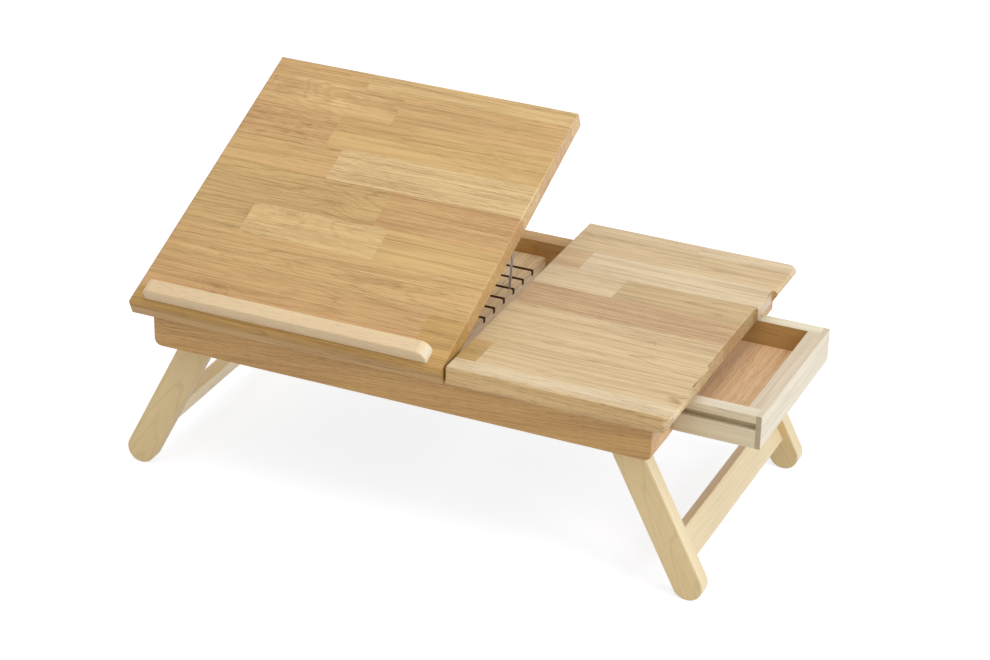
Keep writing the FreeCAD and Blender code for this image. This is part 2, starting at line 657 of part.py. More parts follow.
prop_clip = prop_clip.cut(clip_screw_holes).removeSplitter()
save("prop_clip", on_tilt(prop_clip))
save("prop_clip_screws", on_tilt(group(clip_screws)))

# ---------------------------------------------------------------- tilting board
def rounded_board(x0, x1, open_x, corner):
    """A board rounded over on three sides; the edge at open_x stays square.

    A corner tighter than the rim's rounding is worked last, since the rim can't turn around it.
    """
    plain = block(x0, x1, board_front, board_back, 0, BOARD_THICK)
    corners = [e for e in along(plain, Z) if abs(e.CenterOfMass.x - open_x) > TOUCH]
    cornered = plain.makeFillet(corner, corners)
    tight = corner < BOARD_TOP_ROUND
    board = plain if tight else cornered
    for height, radius in ((BOARD_THICK, BOARD_TOP_ROUND), (0.0, BOARD_LOW_ROUND)):
        rim = [e for e in board.Edges if abs(e.CenterOfMass.z - height) < TOUCH]
        rim = [e for e in rim if abs(e.CenterOfMass.x - open_x) > TOUCH]
        board = board.makeFillet(radius, rim)
    square = [e for e in along(board, Y) if abs(e.CenterOfMass.x - open_x) < TOUCH]
    board = board.makeChamfer(BOARD_ARRIS, square)
    return board.common(cornered) if tight else board


ledge_front = board_front + LEDGE_SETBACK
ledge_back = ledge_front + LEDGE_WIDTH
ledge_end = LEDGE_START_X + LEDGE_LENGTH
ledge_top = BOARD_THICK + LEDGE_HEIGHT
ledge = block(LEDGE_START_X, ledge_end, ledge_front, ledge_back, BOARD_THICK, ledge_top)
for end_x, radius in ((LEDGE_START_X, LEDGE_LEFT_ROUND), (ledge_end, LEDGE_RIGHT_ROUND)):
    top_end = [e for e in along(ledge, Y) if abs(e.CenterOfMass.x - end_x) < TOUCH]
    top_end = [e for e in top_end if e.CenterOfMass.z > BOARD_THICK + TOUCH]
    ledge = ledge.makeFillet(radius, top_end)
ledge_mid_y = (ledge_front + ledge_back) / 2.0
outline = [e for e in ledge.Edges if abs(e.CenterOfMass.y - ledge_mid_y) > TOUCH]
outline = [e for e in outline if e.CenterOfMass.z > BOARD_THICK + TOUCH]
ledge = ledge.makeFillet(LEDGE_EASE, outline)
ledge_screws = []
ledge_screw_holes = []
gap_between_hinges = (hinge_middles[0] + hinge_middles[1]) / 2.0
past_right_hinge = hinge_middles[1] + HINGE_LENGTH / 2.0 + LEDGE_SCREW_PAST_HINGE
ledge_screw_xs = (LEDGE_START_X + LEDGE_RIGHT_ROUND, gap_between_hinges, past_right_hinge)
for x in [x for x in ledge_screw_xs if x + BOARD_SCREW_HEAD_R < ledge_end]:
    head = vec(x, ledge_mid_y, HEAD_SINK)
    size = (BOARD_SCREW_R, BOARD_SCREW_HEAD_R, LEDGE_SCREW_LENGTH)
    ledge_screws.append(flat_screw(head, Z, size[0], size[1], size[2]))
    ledge_screw_holes.append(flat_screw_hole(head, Z, size[0], size[1], size[2]))
tilting_board = rounded_board(board_left, BOARD_SPLIT_X, BOARD_SPLIT_X, TILTING_CORNER)
# Its front edge is rounded further, for the wrists that rest on it.
wrist_form = block(board_left, BOARD_SPLIT_X, board_front, board_back, 0, BOARD_THICK)
wrist_edge = [e for e in along(wrist_form, X) if e.CenterOfMass.y < board_front + TOUCH]
wrist_edge = [e for e in wrist_edge if e.CenterOfMass.z > BOARD_THICK - TOUCH]
tilting_board = tilting_board.common(wrist_form.makeFillet(WRIST_ROUND, wrist_edge))
tilting_board = tilting_board.cut(board_hinge_cuts + ledge_screw_holes + clip_screw_holes)
save("tilting_board", on_tilt(tilting_board))
save("stop_ledge", on_tilt(ledge.cut(ledge_screw_holes)))
save("ledge_screws", on_tilt(group(ledge_screws)))

names = ("left", "right")
for k in range(2):
    save(names[k] + "_hinge_rail_leaf", rail_leaves[k])
    save(names[k] + "_hinge_board_leaf", on_tilt(board_leaves[k]))
save("hinge_pins", group(hinge_pins))
save("rail_leaf_screws", group(rail_leaf_screws))
save("board_leaf_screws", on_tilt(group(board_leaf_screws)))

# ---------------------------------------------------------------- fixed board
# Its right edge is bevelled underneath, for fingers that reach for the drawer.
fixed_board = rounded_board(fixed_left, board_right, fixed_left, FIXED_CORNER)
bevel = Part.Face(Part.makePolygon([vec(board_right, board_front, GRIP_BEVEL_TOP), vec(board_right, board_front, 0),
                                    vec(board_right - GRIP_BEVEL_INSET, board_front, 0),
                                    vec(board_right, board_front, GRIP_BEVEL_TOP)]))
bevel = bevel.extrude(Y * (board_back - board_front))
grip_x = board_right - GRIP_INSET
notch_x = grip_x - NOTCH_DEPTH
grip = block(grip_x, board_right, board_front + GRIP_START, board_back - GRIP_END, 0, BOARD_THICK)
notch = block(notch_x, board_right, board_front + NOTCH_START, board_back - NOTCH_END, 0, BOARD_THICK)
inner_corners = [e for e in along(notch, Z) if e.CenterOfMass.x < notch_x + TOUCH]
notch = notch.makeFillet(NOTCH_CORNER, inner_corners)
fixed_holes = board_dowel_holes + guide_screw_holes
fixed_board = fixed_board.cut([grip, notch, bevel] + fixed_holes)
grip_rim = [e for e in along(fixed_board, Y) if abs(e.CenterOfMass.z - BOARD_THICK) < TOUCH]
grip_rim = [e for e in grip_rim if notch_x - TOUCH < e.CenterOfMass.x < grip_x + TOUCH]
fixed_board = fixed_board.makeFillet(GRIP_EASE, grip_rim)
save("fixed_board", fixed_board)

# ---------------------------------------------------------------- drawer
front_inner_x = drawer_face - DRAWER_FRONT_THICK
side_end_x = front_inner_x + DRAWER_SIDE_LAP
inner_front_y = drawer_front_y + DRAWER_SIDE_THICK
inner_back_y = drawer_back_y - DRAWER_SIDE_THICK
ply_low = drawer_bottom + DRAWER_PLY_RAISE
ply_top = ply_low + DRAWER_PLY_THICK
ply_gap = DRAWER_PLY_GAP
ply = block(drawer_tail, front_inner_x + DRAWER_PLY_LET_IN, inner_front_y - DRAWER_PLY_LET_IN,
            inner_back_y + DRAWER_PLY_LET_IN, ply_low, ply_top)
ply_room = block(drawer_tail, front_inner_x + DRAWER_PLY_LET_IN + ply_gap,
                 inner_front_y - DRAWER_PLY_LET_IN - ply_gap,
                 inner_back_y + DRAWER_PLY_LET_IN + ply_gap, ply_low, ply_top)
groove_top = drawer_top - DRAWER_GROOVE_DROP
groove_low = groove_top - DRAWER_GROOVE_HEIGHT
front_groove = block(drawer_tail, side_end_x, drawer_front_y, drawer_front_y + DRAWER_GROOVE_DEPTH,
                     groove_low, groove_top)
back_groove = block(drawer_tail, side_end_x, drawer_back_y - DRAWER_GROOVE_DEPTH, drawer_back_y,
                    groove_low, groove_top)
brads = []
brad_holes = []
rear_mid_x = drawer_tail + DRAWER_REAR_THICK / 2.0
lap_mid_x = front_inner_x + DRAWER_SIDE_LAP / 2.0
brad_mid_z = (drawer_top + drawer_bottom) / 2.0
for side, face in ((1.0, drawer_front_y), (-1.0, drawer_back_y)):
    for x in (rear_mid_x, lap_mid_x):
        for step in (-1.0, 1.0):
            rise = BRAD_SPREAD * (step + 1.0)
            head = vec(x, face + side * HEAD_SINK, brad_mid_z + rise)
            brads.append(bar(BRAD_R, head, Y * side, BRAD_LENGTH))
            brad_holes.append(bar(BRAD_R + RUNNING_GAP, vec(x, face, brad_mid_z + rise), Y * side,
                                  BRAD_LENGTH + DOWEL_END_GAP))
side_front = block(drawer_tail, side_end_x, drawer_front_y, inner_front_y, drawer_bottom, drawer_top)
side_back = block(drawer_tail, side_end_x, inner_back_y, drawer_back_y, drawer_bottom, drawer_top)
panel = block(front_inner_x, drawer_face, drawer_front_y, drawer_back_y, drawer_bottom, drawer_top)
face_edges = [e for e in panel.Edges if abs(e.CenterOfMass.x - drawer_face) < TOUCH]
panel = panel.makeFillet(DRAWER_EASE, face_edges)
rear = block(drawer_tail, drawer_tail + DRAWER_REAR_THICK, inner_front_y, inner_back_y, ply_top, drawer_top)
save("drawer_front_panel", panel.cut([side_front, side_back, ply_room] + brad_holes))
save("drawer_front_side", side_front.cut([front_groove, ply_room] + brad_holes))
save("drawer_back_side", side_back.cut([back_groove, ply_room] + brad_holes))
save("drawer_rear_panel", rear.cut(brad_holes))
save("drawer_bottom", ply)
save("drawer_brads", group(brads))

# ---------------------------------------------------------------- folding leg frames
def leg(pivot_x, way, y0, y1, crossbar_holes):
    """One leg: a flat bar with round ends, from the pivot down to the foot."""
    down = vec(way * math.sin(splay), 0, -math.cos(splay))
    across = vec(math.cos(splay), 0, way * math.sin(splay))
    top = vec(pivot_x, y0, pivot_z)
    foot = top + down * LEG_REACH
    a = top + across * leg_half
    b = foot + across * leg_half
    c = foot - across * leg_half
    d = top - across * leg_half
    outline = [Part.makeLine(a, b), Part.Arc(b, foot + down * leg_half, c).toShape(),
               Part.makeLine(c, d), Part.Arc(d, top - down * leg_half, a).toShape()]
    plank = Part.Face(Part.Wire(outline)).extrude(Y * (y1 - y0))
    rims = [e for e in plank.Edges if abs(e.CenterOfMass.y - (y0 + y1) / 2.0) > TOUCH]
    plank = plank.makeFillet(LEG_EASE, rims)
    bore = bar(PIVOT_SHOULDER_R + RUNNING_GAP, top, Y, y1 - y0)
    return plank.cut([bore] + crossbar_holes)


def leg_frame(side_name, pivot_x, way):
    """Two legs, the crossbar between them and its dowels."""
    down = vec(way * math.sin(splay), 0, -math.cos(splay))
    front0 = leg_front_y
    front1 = leg_front_y + LEG_THICK
    back0 = leg_back_y - LEG_THICK
    back1 = leg_back_y
    span = block(pivot_x - CROSSBAR_THICK / 2.0, pivot_x + CROSSBAR_THICK / 2.0, front1, back0,
                 pivot_z - CROSSBAR_START - CROSSBAR_WIDTH, pivot_z - CROSSBAR_START)
    span = ease(span, (Y,), CROSSBAR_EASE)
    span.rotate(vec(pivot_x, 0, pivot_z), Y, -way * LEG_SPLAY)
    pins = []
    holes = []
    for face, side in ((front1, 1.0), (back0, -1.0)):
        for step in (-1.0, 1.0):
            reach = CROSSBAR_START + CROSSBAR_WIDTH / 2.0 + step * CROSSBAR_DOWEL_SPREAD
            at = vec(pivot_x, face + side * (DOWEL_LENGTH / 2.0 - DOWEL_BITE), pivot_z) + down * reach
            pins.append(dowel(at, Y, DOWEL_R, DOWEL_LENGTH))
            holes.append(dowel_hole(at, Y, DOWEL_R, DOWEL_LENGTH))
    save(side_name + "_front_leg", leg(pivot_x, way, front0, front1, holes))
    save(side_name + "_back_leg", leg(pivot_x, way, back0, back1, holes))
    save(side_name + "_crossbar", span.cut(holes))
    save(side_name + "_crossbar_dowels", group(pins))


leg_frame("left", left_pivot_x, -1.0)
leg_frame("right", right_pivot_x, 1.0)
save("pivot_inserts", group(inserts))
save("pivot_screws", group(pivot_screws))
save("pivot_washers", group(pivot_washers))

print("origin", tuple(origin))
print("leg pivots", left_pivot_x, right_pivot_x, pivot_z)
print("prop head", tuple(head_point), "foot", tuple(foot_point), "length", prop_length)
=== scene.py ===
# %% [markdown]
# A bed tray in Blender, piece by piece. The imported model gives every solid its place
# and its size in metres. This lesson loads it as a fixed frame, then makes the oak
# boards, the beech legs, the notched rack and the small metal parts look like
# themselves. Every number below is in metres unless its name says otherwise. Many
# places are measured from one corner: the top left corner of the front rail's face.

# %% Load the frame
import json
import math

import bmesh
import bpy
from mathutils import Matrix, Vector


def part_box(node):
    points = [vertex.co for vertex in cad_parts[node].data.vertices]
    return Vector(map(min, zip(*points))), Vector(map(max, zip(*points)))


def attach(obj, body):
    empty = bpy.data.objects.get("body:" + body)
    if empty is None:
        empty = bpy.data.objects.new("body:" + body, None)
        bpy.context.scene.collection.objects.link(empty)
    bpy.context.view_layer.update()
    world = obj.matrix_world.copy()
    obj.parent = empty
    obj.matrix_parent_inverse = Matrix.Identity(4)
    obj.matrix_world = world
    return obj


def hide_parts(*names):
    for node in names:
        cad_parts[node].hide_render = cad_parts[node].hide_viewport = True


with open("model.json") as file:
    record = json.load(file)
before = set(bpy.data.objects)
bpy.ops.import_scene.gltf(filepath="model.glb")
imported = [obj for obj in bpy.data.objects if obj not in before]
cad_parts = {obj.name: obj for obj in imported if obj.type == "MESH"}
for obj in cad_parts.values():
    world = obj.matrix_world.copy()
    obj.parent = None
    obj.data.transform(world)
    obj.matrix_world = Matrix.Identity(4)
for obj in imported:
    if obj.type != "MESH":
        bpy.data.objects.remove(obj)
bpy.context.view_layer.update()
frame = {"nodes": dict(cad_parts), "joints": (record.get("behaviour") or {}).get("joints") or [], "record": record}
nodes = frame["nodes"]
body_of = {n: b for b, names in frame["record"]["behaviour"]["bodies"].items() for n in names}
joint_of = {joint["name"]: joint for joint in frame["joints"]}
slot_of = {part["node"]: part["material_slot"] for part in frame["record"]["subparts"]}
rail_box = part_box("front_rail")
frame_corner = Vector((rail_box[0].x, rail_box[0].y, rail_box[1].z))
print("frame corner", tuple(round(c, 5) for c in frame_corner))

# %% [markdown]
# The camera comes early, because everything else is judged through it. A long lens
# far away keeps the edges nearly parallel, as in a catalogue picture. Its direction
# comes from the point that it looks at, and a small roll levels the tray's edges.

# %% Camera
CAMERA_AT = frame_corner + Vector((1.38720, -2.26340, 1.35230))
CAMERA_LOOKS_AT = frame_corner + Vector((0.30610, 0.18610, -0.03715))
CAMERA_ROLL = math.radians(1.14)
LENS_MM = 103.6
camera_data = bpy.data.cameras.new("studio_camera")
camera_data.lens = LENS_MM
camera_data.sensor_width = 36.0
camera = bpy.data.objects.new("studio_camera", camera_data)
bpy.context.scene.collection.objects.link(camera)
ahead = (CAMERA_LOOKS_AT - CAMERA_AT).normalized()
level_right = ahead.cross(Vector((0, 0, 1))).normalized()
level_up = level_right.cross(ahead)
right = level_right * math.cos(CAMERA_ROLL) + level_up * math.sin(CAMERA_ROLL)
up = level_up * math.cos(CAMERA_ROLL) - level_right * math.sin(CAMERA_ROLL)
turn = Matrix((right, up, -ahead)).transposed().to_4x4()
camera.matrix_world = Matrix.Translation(CAMERA_AT) @ turn
bpy.context.scene.camera = camera
print("camera distance", round((CAMERA_LOOKS_AT - CAMERA_AT).length, 3))

# %% [markdown]
# Materials are built from nodes. A few small helpers keep each recipe readable: one
# makes a node and sets or links its inputs, and the others name the usual sums.

# %% Node helpers


class Recipe:
    """One material under construction, with its node tree."""

    def __init__(self, name):
        self.material = bpy.data.materials.new(name)
        self.material.use_nodes = True
        self.tree = self.material.node_tree
        self.shader = self.tree.nodes["Principled BSDF"]

    def put(self, kind, inputs=None, **settings):
        """Adds a node. Each input is a number, a tuple or another node's output."""
        node = self.tree.nodes.new(kind)
        for key, value in settings.items():
            setattr(node, key, value)
        for key, value in (inputs or {}).items():
            self.feed(node.inputs[key], value)
        return node

    def feed(self, socket, value):
        if isinstance(value, bpy.types.NodeSocket):
            self.tree.links.new(value, socket)
        else:
            socket.default_value = value

    def sum(self, operation, *values, clamp=False):
        inputs = dict(enumerate(values))
        return self.put("ShaderNodeMath", inputs, operation=operation, use_clamp=clamp).outputs[0]

    def vector(self, operation, *values):
        return self.put("ShaderNodeVectorMath", dict(enumerate(values)), operation=operation).outputs[0]

    def split(self, vector):
        return self.put("ShaderNodeSeparateXYZ", {0: vector}).outputs

    def join(self, x, y, z):
        return self.put("ShaderNodeCombineXYZ", {0: x, 1: y, 2: z}).outputs[0]

    def noise(self, vector, detail=2.0, roughness=0.5):
        inputs = {"Vector": vector, "Scale": 1.0, "Detail": detail, "Roughness": roughness}
        return self.put("ShaderNodeTexNoise", inputs).outputs[0]

    def ramp(self, factor, stops, smooth=True):
        """A colour ramp through (place, grey or colour) stops."""
        node = self.put("ShaderNodeValToRGB", {0: factor})
        node.color_ramp.interpolation = "EASE" if smooth else "LINEAR"
        marks = node.color_ramp.elements
        while len(marks) < len(stops):
            marks.new(0.5)
        for mark, (place, tone) in zip(marks, stops):
            mark.position = place
            mark.color = (tone, tone, tone, 1) if isinstance(tone, float) else (*tone, 1)
        return node.outputs[0]

    def blend(self, factor, a, b, mode="MIX"):
        node = self.put("ShaderNodeMix", data_type="RGBA", blend_type=mode)
        self.feed(node.inputs[0], factor)
        self.feed(node.inputs[6], a)
        self.feed(node.inputs[7], b)
        return node.outputs[2]

    def bump(self, height, strength, distance):
        inputs = {"Height": height, "Strength": strength, "Distance": distance}
        return self.put("ShaderNodeBump", inputs).outputs[0]


def linear(red, green, blue):
    """A colour given as 0 to 255 screen values, as the shader wants it."""
    out = []
    for level in (red, green, blue):
        part = level / 255.0
        out.append(part / 12.92 if part <= 0.04045 else ((part + 0.055) / 1.055) ** 2.4)
    return tuple(out)


print("white is", linear(255, 255, 255))

# %% [markdown]
# Wood is a stack of growth rings around a pith, seen where a saw cut through it. The
# recipe measures how far a point lies from a leaning pith line and turns that distance
# into rings, so one pattern in space makes the arches on a flat face, the straight
# lines beside them and the bows on the sawn end agree. Oak also has long pores, which
# show as short dark dashes along the grain, and slow clouds of tone from stave to
# stave. End grain drinks more lacquer, so faces across the grain are drawn darker. The
# faces of a piece that look one chosen way get a tint of their own, which is painted
# light on some pieces and painted shade on others.

# %% Wood recipe
RING = 0.0025
LIGHT_WOOD = (1.10, 1.10, 1.12, 1)
DARK_WOOD = (0.62, 0.54, 0.44, 1)
SAPWOOD_TONE = linear(232, 206, 156)
# How often each kind of noise repeats per metre, along the grain and across it.
SLOW_BENDS = (2.4, 14.0, 14.0)
QUICK_BENDS = (10.0, 62.0, 62.0)
JITTER = (46.0, 300.0, 300.0)
BROAD_STREAKS = (2.2, 130.0, 130.0)
NARROW_STREAKS = (6.5, 560.0, 560.0)
FINE_LINES = (14.0, 1300.0, 1300.0)
PORES = (80.0, 1300.0, 1300.0)
CLOUDS = (7.0, 34.0, 34.0)
# How far the bends and a knot push the growth rings aside.
SIDE_PUSH = 0.024
DEPTH_PUSH = 0.005
KNOT_PUSH = 0.010
KNOT_BEND_ALONG = 0.030
KNOT_BEND_ACROSS = 0.016
# How dark the plain wood, a knot's heart and a glue line are, from 0 to 1.
BASE_DARK = 0.24
KNOT_DARK = 0.55
SEAM_DARK = 0.5
LATE_WOOD = [(0.0, 0.2), (0.08, 0.0), (0.66, 0.03), (0.86, 1.0), (0.93, 0.6), (1.0, 0.2)]
PORE_EDGE = [(0.0, 0.0), (0.60, 0.0), (0.66, 1.0)]
ARRIS_BAND = [(0.0, 0.0), (0.62, 0.0), (0.70, 1.0), (0.78, 0.0)]
BUMP_STRENGTH = 0.22
BUMP_DEPTH = 0.00025
# A spot smaller than this isn't drawn. Spots are longer along the grain than across it.
LEAST_SPOT = 0.0005
NOT_ZERO = 0.0001
KNOT_STRETCH = 0.45
SAPWOOD_STRETCH = 0.5
PLAIN_LOOK = {"seed": 0.0, "pith_y": 0.02, "pith_z": -0.05, "lean": 0.03, "figure": 0.4, "pores": 0.40,
              "streaks": 0.80, "clouds": 0.35, "rough": 0.42, "fade": 0.0, "knot": (0.0, 0.0, 0.0),
              "sapwood": (0.0, 0.0, 0.0), "seam": 0.0, "end": 0.30, "arris": 0.0, "ring": RING,
              "edge": (0, 0, 1), "light_and_shade_tint": (1.0, 1.0, 1.0)}


def bell(recipe, x, y, spot, stretch):
    """1 at a spot (x, y, size), falling to 0 around it; 0 everywhere if its size is 0."""
    spot_x, spot_y, size = recipe.split(spot)
    away_x = recipe.sum("MULTIPLY", recipe.sum("SUBTRACT", x, spot_x), stretch)
    away_y = recipe.sum("SUBTRACT", y, spot_y)
    length = recipe.put("ShaderNodeVectorMath", {0: recipe.join(away_x, away_y, 0.0)}, operation="LENGTH")
    away = recipe.sum("DIVIDE", length.outputs["Value"], recipe.sum("MAXIMUM", size, NOT_ZERO))
    near = recipe.sum("POWER", math.e, recipe.sum("MULTIPLY", away, -1.0))
    return recipe.sum("MULTIPLY", near, recipe.sum("GREATER_THAN", size, LEAST_SPOT))


def add_wood(recipe, place, grain, look):
    """Colour, roughness and bump of wood whose grain runs along place's X."""
    x, y, z = recipe.split(place)
    seed = look["seed"]
    moved = recipe.vector("ADD", place, recipe.join(recipe.sum("MULTIPLY", seed, 1.7), seed, seed))

    def wander(scale, detail=2.0):
        return recipe.sum("SUBTRACT", recipe.noise(recipe.vector("MULTIPLY", moved, scale), detail), 0.5)

    slow = wander(SLOW_BENDS)
    quick = wander(QUICK_BENDS)
    jitter = wander(JITTER, detail=1.0)
    # A knot pushes the rings aside. The bends also give the knot an uneven outline.
    bent_x = recipe.sum("ADD", x, recipe.sum("MULTIPLY", quick, KNOT_BEND_ALONG))
    bent_y = recipe.sum("ADD", y, recipe.sum("MULTIPLY", slow, KNOT_BEND_ACROSS))
    near_knot = bell(recipe, bent_x, bent_y, look["knot"], KNOT_STRETCH)
    # The distance from the leaning pith, counted in rings.
    pith_z = recipe.sum("ADD", look["pith_z"], recipe.sum("MULTIPLY", x, look["lean"]))
    pushed_y = recipe.sum("ADD", y, recipe.sum("MULTIPLY", slow, SIDE_PUSH))
    pushed_z = recipe.sum("ADD", z, recipe.sum("MULTIPLY", quick, DEPTH_PUSH))
    side = recipe.sum("SUBTRACT", pushed_y, look["pith_y"])
    deep = recipe.sum("SUBTRACT", pushed_z, pith_z)
    squares = recipe.sum("ADD", recipe.sum("POWER", side, 2.0), recipe.sum("POWER", deep, 2.0))
    radius = recipe.sum("SQRT", squares)
    radius = recipe.sum("ADD", radius, recipe.sum("MULTIPLY", near_knot, KNOT_PUSH))
    turns = recipe.sum("ADD", recipe.sum("DIVIDE", radius, look["ring"]), recipe.sum("MULTIPLY", quick, 0.5))
    turns = recipe.sum("ADD", turns, recipe.sum("MULTIPLY", jitter, 0.25))
    ring = recipe.sum("FRACT", turns)
    late = recipe.ramp(ring, LATE_WOOD)
    # Some years leave stronger rings than others.
    year = recipe.put("ShaderNodeTexWhiteNoise", {"W": recipe.sum("FLOOR", turns)}, noise_dimensions="1D")
    year = recipe.sum("MULTIPLY", recipe.sum("POWER", year.outputs[0], 2.0), 1.1)
    late = recipe.sum("MULTIPLY", late, recipe.sum("ADD", 0.25, year))
    # Streaks and pores run along the grain.
    streak = recipe.sum("ADD", wander(BROAD_STREAKS, detail=3.0), wander(NARROW_STREAKS, detail=3.0))
    fine = recipe.sum("MULTIPLY", wander(FINE_LINES, detail=1.0), 1.5)
    streak = recipe.sum("ADD", streak, fine)
    pore = recipe.ramp(recipe.noise(recipe.vector("MULTIPLY", moved, PORES), 0.0), PORE_EDGE)
    pore = recipe.sum("MULTIPLY", pore, recipe.sum("ADD", 0.6, recipe.sum("MULTIPLY", slow, 2.4), clamp=True))
    normal = recipe.put("ShaderNodeTexCoord").outputs["Normal"]
    across = recipe.put("ShaderNodeVectorMath", {0: normal, 1: tuple(Vector(grain).normalized())},
                        operation="DOT_PRODUCT").outputs["Value"]
    across = recipe.sum("ABSOLUTE", across)
    sawn_end = recipe.sum("POWER", across, 6.0)
    # Faces that lean at half a right angle to the grain, along an arris, get a weight of their own; the boards use
    # it to draw their arrises lighter.
    arris = recipe.ramp(across, ARRIS_BAND, smooth=False)
    shares = ((late, look["figure"]), (streak, look["streaks"]), (pore, look["pores"]),
              (wander(CLOUDS), look["clouds"]), (recipe.sum("POWER", near_knot, 1.7), KNOT_DARK),
              (sawn_end, look["end"]), (look["seam"], SEAM_DARK), (look["fade"], 1.0),
              (arris, look["arris"]))
    dark = BASE_DARK
    for part, weight in shares:
        dark = recipe.sum("ADD", dark, recipe.sum("MULTIPLY", part, weight))
    # Sapwood shows as a bright, ragged patch.
    patch = bell(recipe, bent_x, bent_y, look["sapwood"], SAPWOOD_STRETCH)
    ragged = recipe.sum("ADD", 0.3, recipe.sum("MULTIPLY", recipe.sum("ADD", quick, jitter), 7.0), clamp=True)
    patch = recipe.sum("MULTIPLY", recipe.sum("MULTIPLY", patch, 2.0, clamp=True), ragged)
    dark = recipe.sum("SUBTRACT", dark, recipe.sum("MULTIPLY", patch, 0.22), clamp=True)
    shade = recipe.blend(dark, LIGHT_WOOD, DARK_WOOD)
    tone = recipe.blend(recipe.sum("MULTIPLY", patch, 0.35), look["tone"], (*SAPWOOD_TONE, 1))
    # Faces that look the chosen way get a tint: painted light on some pieces, painted shade on others.
    faces_tinted_way = recipe.put("ShaderNodeVectorMath", {0: normal, 1: look["edge"]}, operation="DOT_PRODUCT")
    faces_tinted_way = recipe.sum("POWER", faces_tinted_way.outputs["Value"], 2.0)
    tinted = recipe.blend(1.0, tone, (*look["light_and_shade_tint"], 1), mode="MULTIPLY")
    tone = recipe.blend(faces_tinted_way, tone, tinted)
    recipe.feed(recipe.shader.inputs["Base Color"], recipe.blend(1.0, tone, shade, mode="MULTIPLY"))
    rough = recipe.sum("ADD", look["rough"], recipe.sum("MULTIPLY", streak, 0.10))
    recipe.feed(recipe.shader.inputs["Roughness"], rough)
    height = recipe.sum("SUBTRACT", recipe.sum("MULTIPLY", streak, 0.30), recipe.sum("MULTIPLY", pore, 0.6))
    recipe.feed(recipe.shader.inputs["Normal"], recipe.bump(height, BUMP_STRENGTH, BUMP_DEPTH))
    recipe.shader.inputs["Specular IOR Level"].default_value = 0.42
    recipe.shader.inputs["Coat Weight"].default_value = 0.12
    recipe.shader.inputs["Coat Roughness"].default_value = 0.30


def wood(name, grain, facing, centre, tone, **changes):
    """Wood for one piece. Its grain becomes X, its wide face looks along Z, and its
    pith is measured from the piece's own centre."""
    recipe = Recipe(name)
    along = Vector(grain).normalized()
    wide = Vector(facing)
    wide = (wide - along * wide.dot(along)).normalized()
    spin = Matrix((along, wide.cross(along), wide))
    coordinates = recipe.put("ShaderNodeTexCoord").outputs["Object"]
    inputs = {"Vector": coordinates, "Location": -(spin @ Vector(centre)), "Rotation": spin.to_euler()}
    place = recipe.put("ShaderNodeMapping", inputs, vector_type="POINT").outputs[0]
    add_wood(recipe, place, along, {**PLAIN_LOOK, "tone": (*tone, 1), **changes})
    return recipe


print("rings are", RING * 1000, "mm apart")

# %% [markdown]
# The studio is a white floor under a bright sky, as in a catalogue picture. The camera
# sees the floor mostly as plain white with a small share of the lit floor in it, so the
# tray keeps a faint shadow. Mirror-like and see-through rays get the same white, and
# only the rays that light the wood see the real, dimmer floor and sky. The sky is
# slightly warm and the lamps are slightly cool, which leaves the sides that face away
# from the lamps browner than the sides that face them.

# %% Floor and sky
SEEN_SHARE = (0.83, 0.63, 0.63)
FLOOR_LIT = (0.476, 0.464, 0.414)
FLOOR_PAINT = (0.82, 0.85, 0.88)
SKY_STRENGTH = 0.60
SKY_COLOUR = (1.0, 0.955, 0.88, 1)


def seen_directly(tree):
    """1 for rays from the camera, from mirror-like faces and through clear ones."""
    path = tree.nodes.new("ShaderNodeLightPath")
    total = None
    for ray in ("Is Camera Ray", "Is Glossy Ray", "Is Transmission Ray"):
        if total is None:
            total = path.outputs[ray]
            continue
        either = tree.nodes.new("ShaderNodeMath")
        either.operation = "MAXIMUM"
        tree.links.new(total, either.inputs[0])
        tree.links.new(path.outputs[ray], either.inputs[1])
        total = either.outputs[0]
    return total


def pick_by_ray(tree, plain, bright):
    pick = tree.nodes.new("ShaderNodeMixShader")
    tree.links.new(seen_directly(tree), pick.inputs[0])
    tree.links.new(plain, pick.inputs[1])
    tree.links.new(bright, pick.inputs[2])
    return pick.outputs[0]


floor_mesh = bpy.data.meshes.new("studio_floor")
FLOOR_HALF = 12.0
corners = [(-FLOOR_HALF, -FLOOR_HALF, 0), (FLOOR_HALF, -FLOOR_HALF, 0), (FLOOR_HALF, FLOOR_HALF, 0),
           (-FLOOR_HALF, FLOOR_HALF, 0)]
floor_mesh.from_pydata(corners, [], [(0, 1, 2, 3)])
floor = bpy.data.objects.new("studio_floor", floor_mesh)
bpy.context.scene.collection.objects.link(floor)
paint = Recipe("floor_white")
paint.shader.inputs["Base Color"].default_value = (*FLOOR_PAINT, 1)
paint.shader.inputs["Roughness"].default_value = 1.0
paint.shader.inputs["Specular IOR Level"].default_value = 0.0
seen_paint = tuple(paint_level * share for paint_level, share in zip(FLOOR_PAINT, SEEN_SHARE))
seen_glow = tuple(1.0 - share * lit for share, lit in zip(SEEN_SHARE, FLOOR_LIT))
matt = paint.put("ShaderNodeBsdfDiffuse", {"Color": (*seen_paint, 1)})
glow = paint.put("ShaderNodeEmission", {"Color": (*seen_glow, 1), "Strength": 1.0})
veil = paint.put("ShaderNodeAddShader", {0: matt.outputs[0], 1: glow.outputs[0]})
surface = pick_by_ray(paint.tree, paint.shader.outputs[0], veil.outputs[0])
paint.tree.links.new(surface, paint.tree.nodes["Material Output"].inputs[0])
floor_mesh.materials.append(paint.material)

